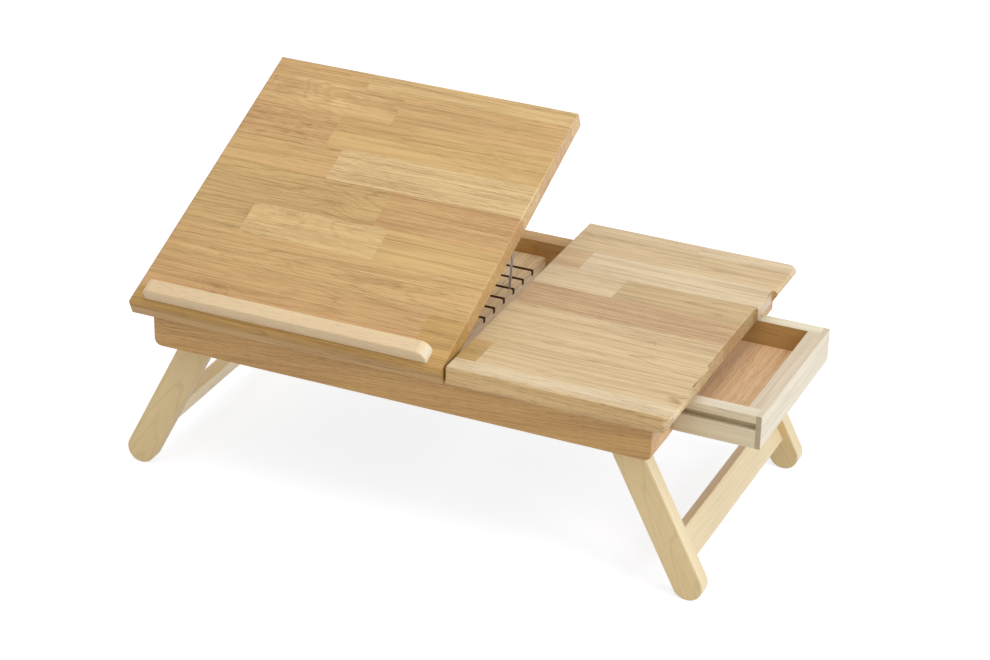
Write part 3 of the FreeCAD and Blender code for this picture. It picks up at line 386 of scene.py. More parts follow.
world = bpy.data.worlds.new("studio_sky")
bpy.context.scene.world = world
world.use_nodes = True
sky = world.node_tree.nodes["Background"]
sky.inputs["Color"].default_value = SKY_COLOUR
sky.inputs["Strength"].default_value = SKY_STRENGTH
white = world.node_tree.nodes.new("ShaderNodeBackground")
white.inputs["Color"].default_value = (1.0, 1.0, 1.0, 1)
white.inputs["Strength"].default_value = 1.0
surface = pick_by_ray(world.node_tree, sky.outputs[0], white.outputs[0])
world.node_tree.links.new(surface, world.node_tree.nodes["World Output"].inputs[0])
print("glow in the camera's white", [round(level, 3) for level in seen_glow])

# %% [markdown]
# One large square lamp high on the right makes the drawer's end the brightest side,
# and a wider one above fills the boards.

# %% Lamps
RIGHT_COLOUR = (0.92, 1.0, 1.16)
ABOVE_COLOUR = (0.95, 0.98, 1.0)
LAMPS_AIM = Vector((0, 0, 0.15))


def soft_lamp(name, place, size, watts, colour):
    """A square lamp with sides of the given size, turned towards the tray."""
    data = bpy.data.lights.new(name, "AREA")
    data.shape = "SQUARE"
    data.size = size
    data.energy = watts
    data.color = colour
    lamp = bpy.data.objects.new(name, data)
    lamp.location = place
    lamp.rotation_euler = (LAMPS_AIM - Vector(place)).to_track_quat("-Z", "Y").to_euler()
    bpy.context.scene.collection.objects.link(lamp)


soft_lamp("lamp_right", place=(2.6, -0.5, 1.9), size=1.8, watts=47.0, colour=RIGHT_COLOUR)
soft_lamp("lamp_above", place=(0.2, -0.4, 3.0), size=2.2, watts=28.0, colour=ABOVE_COLOUR)
bpy.context.scene.view_settings.view_transform = "Standard"

# %% [markdown]
# The two boards are glued up from oak staves. The rows run the same way through both,
# because both were cut from one panel, and the butt joints are staggered. A copy of
# each board is cut along its glue lines, so every stave has faces of its own, and a
# few numbers stored on those faces tell the wood recipe its tone, its pith, its knot
# and its patch of sapwood. The table below lists the rows from the front edge.

# %% Stave table
TONES = {
    "straw": linear(212, 182, 130), "wheat": linear(207, 175, 120), "honey": linear(202, 167, 108),
    "tan": linear(200, 163, 108), "pink": linear(197, 157, 104), "olive": linear(194, 161, 105),
    "gold": linear(188, 149, 85), "cream": linear(214, 186, 137),
}
SEAMS = (-0.008, 0.0145, 0.060, 0.112, 0.1555, 0.2055, 0.25125, 0.297, 0.342, 0.366)


def stave(end, tone, pith_y, depth, lean, figure, **extras):
    """One stave, from the last one's end to end; the pith is measured from its own middle."""
    return {"end": end, "tone": tone, "pith": (pith_y, -depth), "lean": lean, "figure": figure, **extras}


TILTING_ROWS = (
    (stave(0.336, "gold", 0.09, 0.03, 0.01, 0.5),),
    (stave(0.295, "pink", 0.006, 0.034, -0.0275, 0.42, knot=(0.063, -0.004, 0.005)),
     stave(0.336, "gold", 0.02, 0.05, 0.025, 0.4)),
    (stave(0.336, "tan", -0.004, 0.03, 0.0225, 0.45, fade=0.10),),
    (stave(0.050, "olive", 0.03, 0.03, 0.03, 0.55, knot=(0.048, 0.004, 0.006)),
     stave(0.206, "wheat", 0.012, 0.03, 0.035, 0.45, knot=(0.098, 0.016, 0.006)),
     stave(0.336, "honey", -0.10, 0.03, 0.005, 0.60, fade=-0.16)),
    (stave(0.187, "olive", 0.012, 0.028, 0.025, 0.55, knot=(0.130, -0.004, 0.012), seam=0.5),
     stave(0.336, "pink", 0.10, 0.04, 0.0075, 0.60)),
    (stave(0.109, "tan", 0.03, 0.05, 0.015, 0.35, fade=0.12, seam=0.7),
     stave(0.336, "straw", -0.08, 0.05, 0.025, 0.38, seam=0.5)),
    (stave(0.0875, "pink", 0.05, 0.05, 0.01, 0.30, pores=0.8),
     stave(0.336, "honey", 0.0, 0.02, 0.035, 0.22)),
    (stave(0.144, "tan", 0.004, 0.022, 0.025, 0.45, knot=(0.010, 0.004, 0.010),
           sapwood=(0.064, 0.002, 0.016), fade=-0.14),
     stave(0.336, "tan", -0.07, 0.04, 0.015, 0.35, pores=0.6)),
    (stave(0.095, "tan", 0.05, 0.04, 0.01, 0.40), stave(0.336, "wheat", 0.03, 0.06, 0.015, 0.30)),
)
FIXED_ROWS = (
    (stave(0.60, "cream", 0.09, 0.04, 0.01, 0.35),),
    (stave(0.361, "gold", 0.02, 0.04, 0.015, 0.5),
     stave(0.60, "wheat", -0.008, 0.02, 0.025, 0.60, fade=-0.10)),
    (stave(0.60, "wheat", 0.006, 0.02, 0.03, 0.45, knot=(0.469, -0.018, 0.004)),),
    (stave(0.60, "wheat", 0.03, 0.03, 0.015, 0.40, knot=(0.500, -0.004, 0.006), seam=-0.4),),
    (stave(0.60, "pink", 0.08, 0.03, 0.01, 0.55),),
    (stave(0.429, "straw", 0.05, 0.06, 0.01, 0.25),
     stave(0.60, "olive", 0.0, 0.03, 0.03, 0.45, knot=(0.541, -0.014, 0.005))),
    (stave(0.372, "tan", 0.03, 0.06, 0.01, 0.25), stave(0.60, "cream", -0.06, 0.05, 0.01, 0.30)),
    (stave(0.60, "wheat", 0.02, 0.04, 0.015, 0.35, knot=(0.507, -0.006, 0.005)),),
    (stave(0.4726, "straw", 0.03, 0.06, 0.015, 0.25), stave(0.60, "cream", 0.05, 0.04, 0.01, 0.30)),
)
print("staves", sum(len(row) for row in TILTING_ROWS + FIXED_ROWS))

# %% [markdown]
# A board is cut in its closed place, where its rows follow Y. The tilted one is
# turned down about the hinge line first and turned back at the end.

# %% Cut a board into staves
REST_TILT = math.radians(23.4)
HINGE_AT = Vector(joint_of["board_tilt"]["pos_m"])
rest_turn = Matrix.Rotation(REST_TILT, 4, "X")
closed_to_rest = Matrix.Translation(HINGE_AT) @ rest_turn @ Matrix.Translation(-HINGE_AT)
STAVE_DATA = ("tone", "pith", "shape", "finish", "row", "knot", "sapwood")
FAR_OFF = 9.0
ON_PLANE = 1e-7
USUAL_PORES = 0.42
SEED_PER_ROW = 0.37
SEED_PER_STAVE = 0.61
MERGE_DISTANCE = 1e-6
FLAT_ANGLE = math.radians(0.4)


def copied_mesh(node):
    """A copy of a solid's mesh with its loose triangles joined into whole faces."""
    form = bmesh.new()
    form.from_mesh(nodes[node].data)
    bmesh.ops.remove_doubles(form, verts=form.verts, dist=MERGE_DISTANCE)
    bmesh.ops.dissolve_limit(form, angle_limit=FLAT_ANGLE, verts=form.verts, edges=form.edges)
    return form


def cut_across(form, faces, place, normal):
    edges = {e for f in faces for e in f.edges}
    points = {v for f in faces for v in f.verts}
    parts = list(faces) + list(edges) + list(points)
    return bmesh.ops.bisect_plane(form, geom=parts, plane_co=place, plane_no=normal,
                                  dist=ON_PLANE)


def row_faces(form, number, count):
    """The faces between two seams; the first and last rows also take what lies beyond."""
    low = SEAMS[number] + frame_corner.y if number else -FAR_OFF
    high = SEAMS[number + 1] + frame_corner.y if number < count - 1 else FAR_OFF
    return {f for f in form.faces if low < f.calc_center_median().y <= high}


def store_stave(face, layers, number, order, row, shift):
    piece = row[order]
    low = SEAMS[number] + frame_corner.y
    high = SEAMS[number + 1] + frame_corner.y
    middle = (low + high) / 2.0
    seed = SEED_PER_ROW * number + SEED_PER_STAVE * order + shift
    face[layers["tone"]] = TONES[piece["tone"]]
    face[layers["pith"]] = (seed, middle + piece["pith"][0], frame_corner.z + piece["pith"][1])
    face[layers["shape"]] = (piece["lean"], piece["figure"], piece.get("pores", USUAL_PORES))
    face[layers["finish"]] = (piece.get("fade", 0.0), piece.get("seam", 0.0), 0.0)
    face[layers["row"]] = (low, high, middle)
    for spot in ("knot", "sapwood"):
        x, y, size = piece.get(spot, (0.0, 0.0, 0.0))
        face[layers[spot]] = (frame_corner.x + x, middle + y, size)


def cut_staves(form, rows, shift):
    """Cuts along the seams and joints and stores each stave's numbers on its faces."""
    for seam in SEAMS[1:-1]:
        cut_across(form, form.faces[:], frame_corner + Vector((0, seam, 0)), (0, 1, 0))
    layers = {name: form.faces.layers.float_vector.new("stave_" + name) for name in STAVE_DATA}
    for number, row in enumerate(rows):
        for piece in row[:-1]:
            place = frame_corner + Vector((piece["end"], 0, 0))
            cut_across(form, row_faces(form, number, len(rows)), place, (1, 0, 0))
        for face in row_faces(form, number, len(rows)):
            x = face.calc_center_median().x - frame_corner.x
            order = next(k for k, piece in enumerate(row) if x <= piece["end"] or k == len(row) - 1)
            store_stave(face, layers, number, order, row, shift)


def finish_form(form, name, smooth_angle=34.0):
    """Turns the edited form into an object at the origin, smooth only where it bends gently."""
    mesh = bpy.data.meshes.new(name)
    form.to_mesh(mesh)
    form.free()
    mesh.polygons.foreach_set("use_smooth", [True] * len(mesh.polygons))
    mesh.set_sharp_from_angle(angle=math.radians(smooth_angle))
    piece = bpy.data.objects.new(name, mesh)
    bpy.context.scene.collection.objects.link(piece)
    return piece


def baked(piece):
    """Turns an object's modifiers into one plain mesh and takes them off."""
    shape = piece.evaluated_get(bpy.context.evaluated_depsgraph_get())
    mesh = bpy.data.meshes.new_from_object(shape)
    piece.modifiers.clear()
    piece.data = mesh
    return piece


def hand_over(piece, node):
    """The piece takes the place of a solid and moves with its body."""
    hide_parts(node)
    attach(piece, body_of[node])


def board(node, rows, name, shift, tilted):
    form = copied_mesh(node)
    if tilted:
        form.transform(closed_to_rest.inverted())
    cut_staves(form, rows, shift)
    if tilted:
        form.transform(closed_to_rest)
    piece = finish_form(form, name)
    weighted = piece.modifiers.new("flat_faces_win", "WEIGHTED_NORMAL")
    weighted.keep_sharp = True
    weighted.weight = 80
    baked(piece)
    hand_over(piece, node)
    print(name, "faces", len(piece.data.polygons))
    return piece


tilting_staves = board("tilting_board", TILTING_ROWS, "tilting_board_staves", 0.0, True)
fixed_staves = board("fixed_board", FIXED_ROWS, "fixed_board_staves", 0.29, False)

# %% [markdown]
# The stave wood reads those numbers back. The tilted board turns its coordinates back
# to the closed place, so that both boards share one space. Each stave may be a little
# darker towards its front or its back edge, and a thin dark glue line shows at a few
# of the seams. The level board is a shade paler and less yellow than the tilted one,
# partly from its own staves and partly from a painted whitish sheen. Both boards get
# painted shade on the faces that look to the front.

# %% Stave wood
SEAM_HALF = 0.0005
FAINT_SEAM = 0.1
# The level board's tint is partly its staves' own tone and partly a painted whitish sheen.
LEVEL_TONE_AND_SHEEN = (0.965, 1.04, 1.26)
# The two tints below paint shade on the faces of each board that look to the front and back.
LEVEL_FRONT_SHADE = (0.93, 0.79, 0.55)
TILTED_FRONT_SHADE = (0.92, 0.90, 0.84)


def stave_wood(name, tilted, tint, light_and_shade_tint):
    recipe = Recipe(name)
    coordinates = recipe.put("ShaderNodeTexCoord").outputs["Object"]
    if tilted:
        back = closed_to_rest.inverted()
        inputs = {"Vector": coordinates, "Location": back.to_translation(), "Rotation": back.to_euler()}
        coordinates = recipe.put("ShaderNodeMapping", inputs, vector_type="POINT").outputs[0]
    read = {key: recipe.put("ShaderNodeAttribute", attribute_type="GEOMETRY", attribute_name="stave_" + key)
            for key in STAVE_DATA}
    seed, pith_y, pith_z = recipe.split(read["pith"].outputs["Vector"])
    lean, figure, pores = recipe.split(read["shape"].outputs["Vector"])
    fade, seam = recipe.split(read["finish"].outputs["Vector"])[:2]
    low, high, middle = recipe.split(read["row"].outputs["Vector"])
    y = recipe.split(coordinates)[1]
    share = recipe.sum("DIVIDE", recipe.sum("SUBTRACT", middle, y), recipe.sum("SUBTRACT", high, low))
    glue = recipe.sum("LESS_THAN", recipe.sum("ABSOLUTE", recipe.sum("SUBTRACT", y, low)), SEAM_HALF)
    tone = recipe.blend(1.0, read["tone"].outputs["Color"], (*tint, 1), mode="MULTIPLY")
    look = {**PLAIN_LOOK, "tone": tone, "seed": seed, "pith_y": pith_y, "pith_z": pith_z,
            "lean": lean, "figure": figure, "pores": pores, "knot": read["knot"].outputs["Vector"],
            "sapwood": read["sapwood"].outputs["Vector"], "fade": recipe.sum("MULTIPLY", fade, share),
            "seam": recipe.sum("MULTIPLY", glue, recipe.sum("ADD", seam, FAINT_SEAM)), "end": 0.12,
            "arris": -0.55, "edge": (0, 1, 0), "light_and_shade_tint": light_and_shade_tint, "ring": 0.0017, "streaks": 1.1,
            "clouds": 0.6}
    add_wood(recipe, coordinates, (1, 0, 0), look)
    return recipe.material


def wear(piece, material):
    piece.data.materials.clear()
    piece.data.materials.append(material)


wear(tilting_staves, stave_wood("oak_staves_tilted", True, (1.0, 1.0, 1.0), TILTED_FRONT_SHADE))
wear(fixed_staves, stave_wood("oak_staves_level", False, LEVEL_TONE_AND_SHEEN, LEVEL_FRONT_SHADE))
print("stave numbers", STAVE_DATA)

# %% [markdown]
# Every other wooden piece keeps its solid and gets wood of its own, whose grain runs
# along the piece. The front rail is oak sawn at a slant, so its lines cross the rail at
# a small angle. The legs and crossbars are pale beech with wide arches, the drawer is
# an unstained softwood with one browner side, and its bottom is thin reddish plywood.
# That browner side is partly its own wood and partly painted shade. Several pieces
# carry painted light on the sides that face one way and others painted shade, and the
# left crossbar is painted lighter where it lies in shade.

# %% Wood for the solids
ALONG_X = (1, 0, 0)
ALONG_Y = (0, 1, 0)
UP = (0, 0, 1)
FRONT = (0, -1, 0)
RIGHT = (1, 0, 0)
SPLAY = math.radians(27.2)
SEED_PER_SOLID = 0.83
LEFT_LEG = (-math.sin(SPLAY), 0, -math.cos(SPLAY))
RIGHT_LEG = (math.sin(SPLAY), 0, -math.cos(SPLAY))
RAIL = linear(194, 152, 89)
BEECH = linear(220, 196, 145)
PINE = linear(232, 218, 184)
PINE_END = linear(213, 203, 177)
PLY = linear(230, 192, 148)
LEDGE = linear(221, 196, 155)
# The left crossbar's lighter tone and side tint are painted light on a part that lies in shade.
LEFT_CROSSBAR_LIT_TONE = linear(248, 228, 184)
DRAWER_FRONT_SIDE = linear(214, 199, 165)
# The drawer's back side is browner: partly its own wood, partly painted shade inside the drawer.
DRAWER_BACK_SIDE_AND_SHADE = linear(192, 153, 94)
RAIL_FIGURE = {"figure": 0.5}
FRONT_RAIL_FIGURE = {"figure": 0.85, "ring": 0.0018, "pith_y": 0.07, "pith_z": -0.03, "lean": 0.10,
                     "knot": (0.059, -0.012, 0.003), "clouds": 0.5, "streaks": 0.95, "pores": 0.55,
                     "end": 0.1}
# The ledge's sawn end is drawn lighter and whiter: a painted highlight.
LEDGE_FIGURE = {"figure": 0.08, "pores": 0.30, "streaks": 0.15, "clouds": 0.2, "end": -0.2,
                "edge": (1, 0, 0), "light_and_shade_tint": (1.06, 1.22, 1.5)}
# The legs' right-facing sides get a pale, cool tint: painted light.
LEG_FIGURE = {"figure": 0.26, "ring": 0.0036, "pores": 0.10, "streaks": 0.20, "clouds": 0.30,
              "edge": (1, 0, 0), "light_and_shade_tint": (1.03, 1.13, 1.38)}
# On the left legs that tint is brown instead: painted shade on their shaded right sides.
LEFT_LEG_FIGURE = {**LEG_FIGURE, "light_and_shade_tint": (0.88, 0.77, 0.50)}
RIGHT_LEG_FIGURE = {**LEG_FIGURE, "figure": 0.16}
CROSSBAR_FIGURE = {**LEG_FIGURE, "figure": 0.12}
# The drawer's upward faces get a darker tint: painted shade that tones down their light.
PINE_FIGURE = {"figure": 0.40, "pores": 0.06, "streaks": 0.45, "edge": (0, 0, 1),
               "light_and_shade_tint": (0.80, 0.83, 0.93)}
PANEL_FIGURE = {**PINE_FIGURE, "figure": 0.25, "clouds": 0.6, "end": 0.9, "light_and_shade_tint": (0.92, 0.86, 0.84)}
PLY_FIGURE = {"figure": 0.10, "pores": 0.40, "streaks": 0.7, "clouds": 0.6}
# For each solid: the way its grain runs, the way its wide face looks, its tone and its figure.
WOODS = {
    "front_rail": ((1, 0, 0.09), FRONT, RAIL, FRONT_RAIL_FIGURE),
    "back_rail": (ALONG_X, FRONT, RAIL, RAIL_FIGURE),
    "left_end_rail": (ALONG_Y, RIGHT, RAIL, RAIL_FIGURE),
    "front_stop_block": (ALONG_Y, RIGHT, RAIL, {}),
    "back_stop_block": (ALONG_Y, RIGHT, RAIL, {}),
    "front_drawer_guide": (ALONG_X, FRONT, RAIL, {}),
    "back_drawer_guide": (ALONG_X, FRONT, RAIL, {}),
    "front_runner": (ALONG_X, UP, RAIL, {}),
    "back_runner": (ALONG_X, UP, RAIL, {}),
    "divider": (ALONG_Y, RIGHT, RAIL, {}),
    "stop_ledge": (ALONG_X, FRONT, LEDGE, LEDGE_FIGURE),
    "left_front_leg": (LEFT_LEG, FRONT, BEECH,
                       {**LEFT_LEG_FIGURE, "pith_y": 0.002, "pith_z": -0.030, "lean": 0.06}),
    "left_back_leg": (LEFT_LEG, FRONT, BEECH, {**LEFT_LEG_FIGURE, "pith_y": 0.006, "pith_z": -0.04}),
    "right_front_leg": (RIGHT_LEG, FRONT, BEECH, {**RIGHT_LEG_FIGURE, "pith_y": 0.02, "lean": 0.10}),
    "right_back_leg": (RIGHT_LEG, FRONT, BEECH, {**RIGHT_LEG_FIGURE, "pith_y": -0.01}),
    "left_crossbar": (ALONG_Y, RIGHT, LEFT_CROSSBAR_LIT_TONE,
                      {**CROSSBAR_FIGURE, "light_and_shade_tint": (1.12, 1.14, 1.14)}),
    "right_crossbar": (ALONG_Y, RIGHT, BEECH, CROSSBAR_FIGURE),
    "drawer_front_side": (ALONG_X, FRONT, DRAWER_FRONT_SIDE,
                          {**PINE_FIGURE, "pith_y": 0.05, "clouds": 0.6, "light_and_shade_tint": (0.96, 1.0, 1.14)}),
    # Its top edge gets a pale tint: painted light.
    "drawer_back_side": (ALONG_X, FRONT, DRAWER_BACK_SIDE_AND_SHADE,
                         {**PINE_FIGURE, "pith_y": 0.04, "light_and_shade_tint": (1.30, 1.96, 4.10)}),
    "drawer_front_panel": (ALONG_Y, RIGHT, PINE_END, PANEL_FIGURE),
    "drawer_rear_panel": (ALONG_Y, RIGHT, PINE, PINE_FIGURE),
    "drawer_bottom": (ALONG_Y, UP, PLY, PLY_FIGURE),
    "end_rail_dowels": (ALONG_Y, UP, BEECH, {}),
    "rack_dowels": (ALONG_Y, UP, BEECH, {}),
    "board_dowels": (UP, RIGHT, BEECH, {}),
    "left_crossbar_dowels": (ALONG_Y, UP, BEECH, {}),
    "right_crossbar_dowels": (ALONG_Y, UP, BEECH, {}),
}
for number, (node, (grain, facing, tone, changes)) in enumerate(WOODS.items()):
    corner_low, corner_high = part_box(node)
    centre = (Vector(corner_low) + Vector(corner_high)) / 2.0
    seed = SEED_PER_SOLID * (number + 1)
    recipe = wood("wood_" + node, grain, facing, centre, tone, seed=seed, **changes)
    wear(nodes[node], recipe.material)
print("wooden solids", len(WOODS))

# %% [markdown]
# The rack's slots are deep and dark inside. Where a point lies inside a slot, the
# recipe swaps the pale wood for dark brown: painted shade.

# %% Rack
RACK_LOW, RACK_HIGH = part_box("prop_rack")
SLOT_COUNT = 6
SLOT_PITCH = 0.0252
SLOT_HALF = 0.0025
LAST_SLOT_Y = frame_corner.y + 0.2986
SLOT_DEPTH = 0.0062
SLOT_MARGIN = 0.0002
# The rack's pale tone is partly its own wood and partly painted light for its shaded side.
RACK_TONE_AND_LIGHT = linear(240, 216, 172)
# Dark brown painted into the slots: painted shade.
SLOT_SHADE_BROWN = linear(112, 76, 40)
rack_centre = (Vector(RACK_LOW) + Vector(RACK_HIGH)) / 2.0
rack = wood("wood_prop_rack", ALONG_Y, UP, rack_centre, RACK_TONE_AND_LIGHT, seed=13.2, figure=0.6, pith_y=0.05,
            rough=0.6)
place = rack.split(rack.put("ShaderNodeTexCoord").outputs["Object"])
steps = rack.sum("DIVIDE", rack.sum("SUBTRACT", place[1], LAST_SLOT_Y), SLOT_PITCH)
off = rack.sum("ABSOLUTE", rack.sum("SUBTRACT", steps, rack.sum("ROUND", steps)))
in_slot = rack.sum("LESS_THAN", off, (SLOT_HALF + SLOT_MARGIN) / SLOT_PITCH)
for question, value, limit in (("LESS_THAN", steps, 0.5), ("GREATER_THAN", steps, 0.5 - SLOT_COUNT),
                               ("LESS_THAN", place[2], RACK_HIGH.z - SLOT_MARGIN),
                               ("GREATER_THAN", place[2], RACK_HIGH.z - SLOT_DEPTH - SLOT_MARGIN)):
    in_slot = rack.sum("MULTIPLY", in_slot, rack.sum(question, value, limit))
pale = rack.shader.inputs["Base Color"].links[0].from_socket
rack.feed(rack.shader.inputs["Base Color"], rack.blend(in_slot, pale, (*SLOT_SHADE_BROWN, 1)))
wear(nodes["prop_rack"], rack.material)
print("rack top", round(RACK_HIGH.z, 4))

# %% [markdown]
# Metal needs a colour, a gloss and fine uneven patches. The screws and the hinges are
# zinc plated, the prop is bare drawn wire, whose patches run along it, and the threaded
# inserts of the leg pivots are brass.

# %% Metal
PATCH_ROUGHNESS = 0.15
PATCH_SHADE = 0.8


def metal(name, colour, rough, lines):
    recipe = Recipe(name)
    coordinates = recipe.put("ShaderNodeTexCoord").outputs["Object"]
    patches = recipe.noise(recipe.vector("MULTIPLY", coordinates, lines), 3.0)
    rough = recipe.sum("ADD", rough, recipe.sum("MULTIPLY", patches, PATCH_ROUGHNESS))
    recipe.feed(recipe.shader.inputs["Roughness"], rough)
    tone = recipe.blend(patches, (*[c * PATCH_SHADE for c in colour], 1), (*colour, 1))
    recipe.feed(recipe.shader.inputs["Base Color"], tone)
    recipe.shader.inputs["Metallic"].default_value = 1.0
    return recipe.material


zinc = metal("zinc_plate", linear(196, 194, 186), 0.28, (300, 300, 300))
wire_metal = metal("drawn_wire", linear(196, 196, 194), 0.30, (900, 900, 60))
brass = metal("turned_brass", linear(200, 166, 96), 0.3, (200, 200, 200))
for node, slot in slot_of.items():
    if slot in ("hinge_steel", "screw_steel"):
        wear(nodes[node], zinc)
wear(nodes["pivot_inserts"], brass)
print("metals", [m.name for m in (zinc, wire_metal, brass)])

# %% [markdown]
# Things that repeat or follow a path come from Geometry Nodes. A small builder makes a
# tree, its named inputs and its nodes. The tree is evaluated once and kept as a plain
# mesh, so nothing depends on it later.

# %% Geometry builder


class Maker:
    """A geometry node tree under construction."""

    def __init__(self, name, **inputs):
        self.tree = bpy.data.node_groups.new(name, "GeometryNodeTree")
        self.keys = {}
        self.tree.interface.new_socket("Geometry", in_out="INPUT", socket_type="NodeSocketGeometry")
        for label, kind in inputs.items():
            socket = self.tree.interface.new_socket(label, in_out="INPUT", socket_type="NodeSocket" + kind)
            self.keys[label] = socket.identifier
        self.tree.interface.new_socket("Geometry", in_out="OUTPUT", socket_type="NodeSocketGeometry")
        self.start = self.tree.nodes.new("NodeGroupInput").outputs
        self.end = self.tree.nodes.new("NodeGroupOutput").inputs

    def put(self, kind, inputs=None, **settings):
        node = self.tree.nodes.new(kind)
        for key, value in settings.items():
            setattr(node, key, value)
        for key, value in (inputs or {}).items():
            for item in value if isinstance(value, list) else [value]:
                if isinstance(item, bpy.types.NodeSocket):
                    self.tree.links.new(item, node.inputs[key])
                else:
                    node.inputs[key].default_value = item
        return node

    def math(self, operation, a, b):
        return self.put("ShaderNodeMath", {0: a, 1: b}, operation=operation).outputs[0]

    def finish(self, geometry):
        whole = self.put("GeometryNodeRealizeInstances", {0: geometry}).outputs[0]
        dressed = self.put("GeometryNodeSetMaterial", {"Geometry": whole, "Material": self.start["Material"]})
        self.tree.links.new(dressed.outputs[0], self.end[0])

    def grow(self, name, mesh, **values):
        """Runs the tree on a mesh and returns the result as an ordinary object."""
        piece = bpy.data.objects.new(name, mesh)
        bpy.context.scene.collection.objects.link(piece)
        modifier = piece.modifiers.new("grow", "NODES")
        modifier.node_group = self.tree
        for label, value in values.items():
            modifier[self.keys[label]] = value
        piece.update_tag()
        return baked(piece)


print("builder ready")

# %% [markdown]
# The prop is one piece of steel wire, bent round four corners and closed: a narrow
# head that turns in the clip and a wide foot that stands in the rack. Its corners
# follow from the joint at the head and from the foot's lowest place.

# %% Wire prop
WIRE_RADIUS = 0.0015
BEND_RADIUS = 0.004
HEAD_HALF = 0.007
FOOT_HALF = 0.0175
BEND_STEPS = 10
WIRE_SIDES = 24
head_at = Vector(joint_of["prop_swing"]["pos_m"])
foot_low = Vector(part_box("prop_wire")[0])
foot_at = Vector((head_at.x, foot_low.y + WIRE_RADIUS, foot_low.z + WIRE_RADIUS))
wire_corners = [head_at - Vector((HEAD_HALF, 0, 0)), head_at + Vector((HEAD_HALF, 0, 0)),
                foot_at + Vector((FOOT_HALF, 0, 0)), foot_at - Vector((FOOT_HALF, 0, 0))]
wire_path = bpy.data.meshes.new("prop_wire_path")
wire_path.from_pydata(wire_corners, [(0, 1), (1, 2), (2, 3), (3, 0)], [])
bend = Maker("bent_wire", Wire="Float", Bend="Float", Material="Material")
line = bend.put("GeometryNodeMeshToCurve", {"Mesh": bend.start["Geometry"]}).outputs[0]
line = bend.put("GeometryNodeFilletCurve",
                {"Curve": line, "Radius": bend.start["Bend"], "Count": BEND_STEPS}, mode="POLY")
ring = bend.put("GeometryNodeCurvePrimitiveCircle", {"Resolution": WIRE_SIDES, "Radius": bend.start["Wire"]})
tube = bend.put("GeometryNodeCurveToMesh", {"Curve": line.outputs[0], "Profile Curve": ring.outputs[0]})
bend.finish(bend.put("GeometryNodeSetShadeSmooth", {"Geometry": tube.outputs[0]}).outputs[0])
prop_wire = bend.grow("bent_prop_wire", wire_path, Wire=WIRE_RADIUS, Bend=BEND_RADIUS, Material=wire_metal)
hand_over(prop_wire, "prop_wire")
wear(prop_wire, wire_metal)
print("wire corners", len(wire_corners), "faces", len(prop_wire.data.polygons))

# %% [markdown]
# Screws and brads repeat as well. One tree turns a head with a driver's cross, a core
# with a spiral thread and a point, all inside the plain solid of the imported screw. The
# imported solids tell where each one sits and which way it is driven: the wide end is
# the head.

# %% Where the screws sit
END_SLICE = 0.0006
SAME_WIDTH = 1e-5


def loose_parts(node):
    """The corner points of each separate solid of a node."""
    form = bmesh.new()
    form.from_mesh(nodes[node].data)
    bmesh.ops.remove_doubles(form, verts=form.verts, dist=MERGE_DISTANCE)
    left = set(form.verts)
    parts = []
    while left:
        found, queue = [], [left.pop()]
        while queue:
            point = queue.pop()
            found.append(point.co.copy())
            for edge in point.link_edges:
                other = edge.other_vert(point)
                if other in left:
                    left.remove(other)
                    queue.append(other)
        parts.append(found)
    form.free()
    return parts


def driven(points, axis):
    """The middle of a screw's head and its driving direction along the given axis."""
    middle = sum(points, Vector()) / len(points)
    reach = [(p - middle).dot(axis) for p in points]
    low, high = min(reach), max(reach)
    low_points = [p for p, r in zip(points, reach) if r < low + END_SLICE]
    high_points = [p for p, r in zip(points, reach) if r > high - END_SLICE]

    def width(some):
        centre = sum(some, Vector()) / len(some)
        return max((p - centre - axis * (p - centre).dot(axis)).length for p in some)

    along = axis if width(low_points) >= width(high_points) - SAME_WIDTH else -axis
    sides = [p - axis * (p - middle).dot(axis) for p in points]
    middle_line = Vector([(min(p[k] for p in sides) + max(p[k] for p in sides)) / 2.0 for k in range(3)])
    end = low if along == axis else high
    return middle_line + axis * (middle.dot(axis) + end - middle_line.dot(axis)), along


TILTED_UP = closed_to_rest.to_3x3() @ Vector((0, 0, 1))
# For each kind: the line that it is driven along, its head's radius, its core's radius, its length.
SCREW_SIZES = {
    "guide_screws": (Vector((0, 0, 1)), 0.0040, 0.0020, 0.030),
    "divider_screws": (Vector((0, 1, 0)), 0.0040, 0.0020, 0.040),
    "rail_leaf_screws": (Vector((0, 0, 1)), 0.0025, 0.0013, 0.011),
    "board_leaf_screws": (TILTED_UP, 0.0025, 0.0013, 0.011),
    "ledge_screws": (TILTED_UP, 0.0040, 0.0020, 0.028),
    "prop_clip_screws": (TILTED_UP, 0.0029, 0.0013, 0.0148),
    "drawer_brads": (Vector((0, 1, 0)), 0.0009, 0.0007, 0.024),
}
seats = {node: [driven(part, size[0]) for part in loose_parts(node)] for node, size in SCREW_SIZES.items()}
for node, found in seats.items():
    print(node, len(found), "first at", tuple(round(c, 4) for c in found[0][0]))

# %% [markdown]
# Countersunk heads narrow at once into the core. The pan heads on the prop's clip stand
# on the metal, and are a little narrower on top. Brads are so thin that they have no
# cross.

# %% Screws and brads
CROSS_WIDTH = 0.0008
CROSS_DEPTH = 0.0006
THREAD_PITCH = 0.0015
HEAD_SIDES = 32
SHANK_SIDES = 16
TURN_STEPS = 12
CROSS_REACH = 1.2
TIP_RADIUS = 0.00005
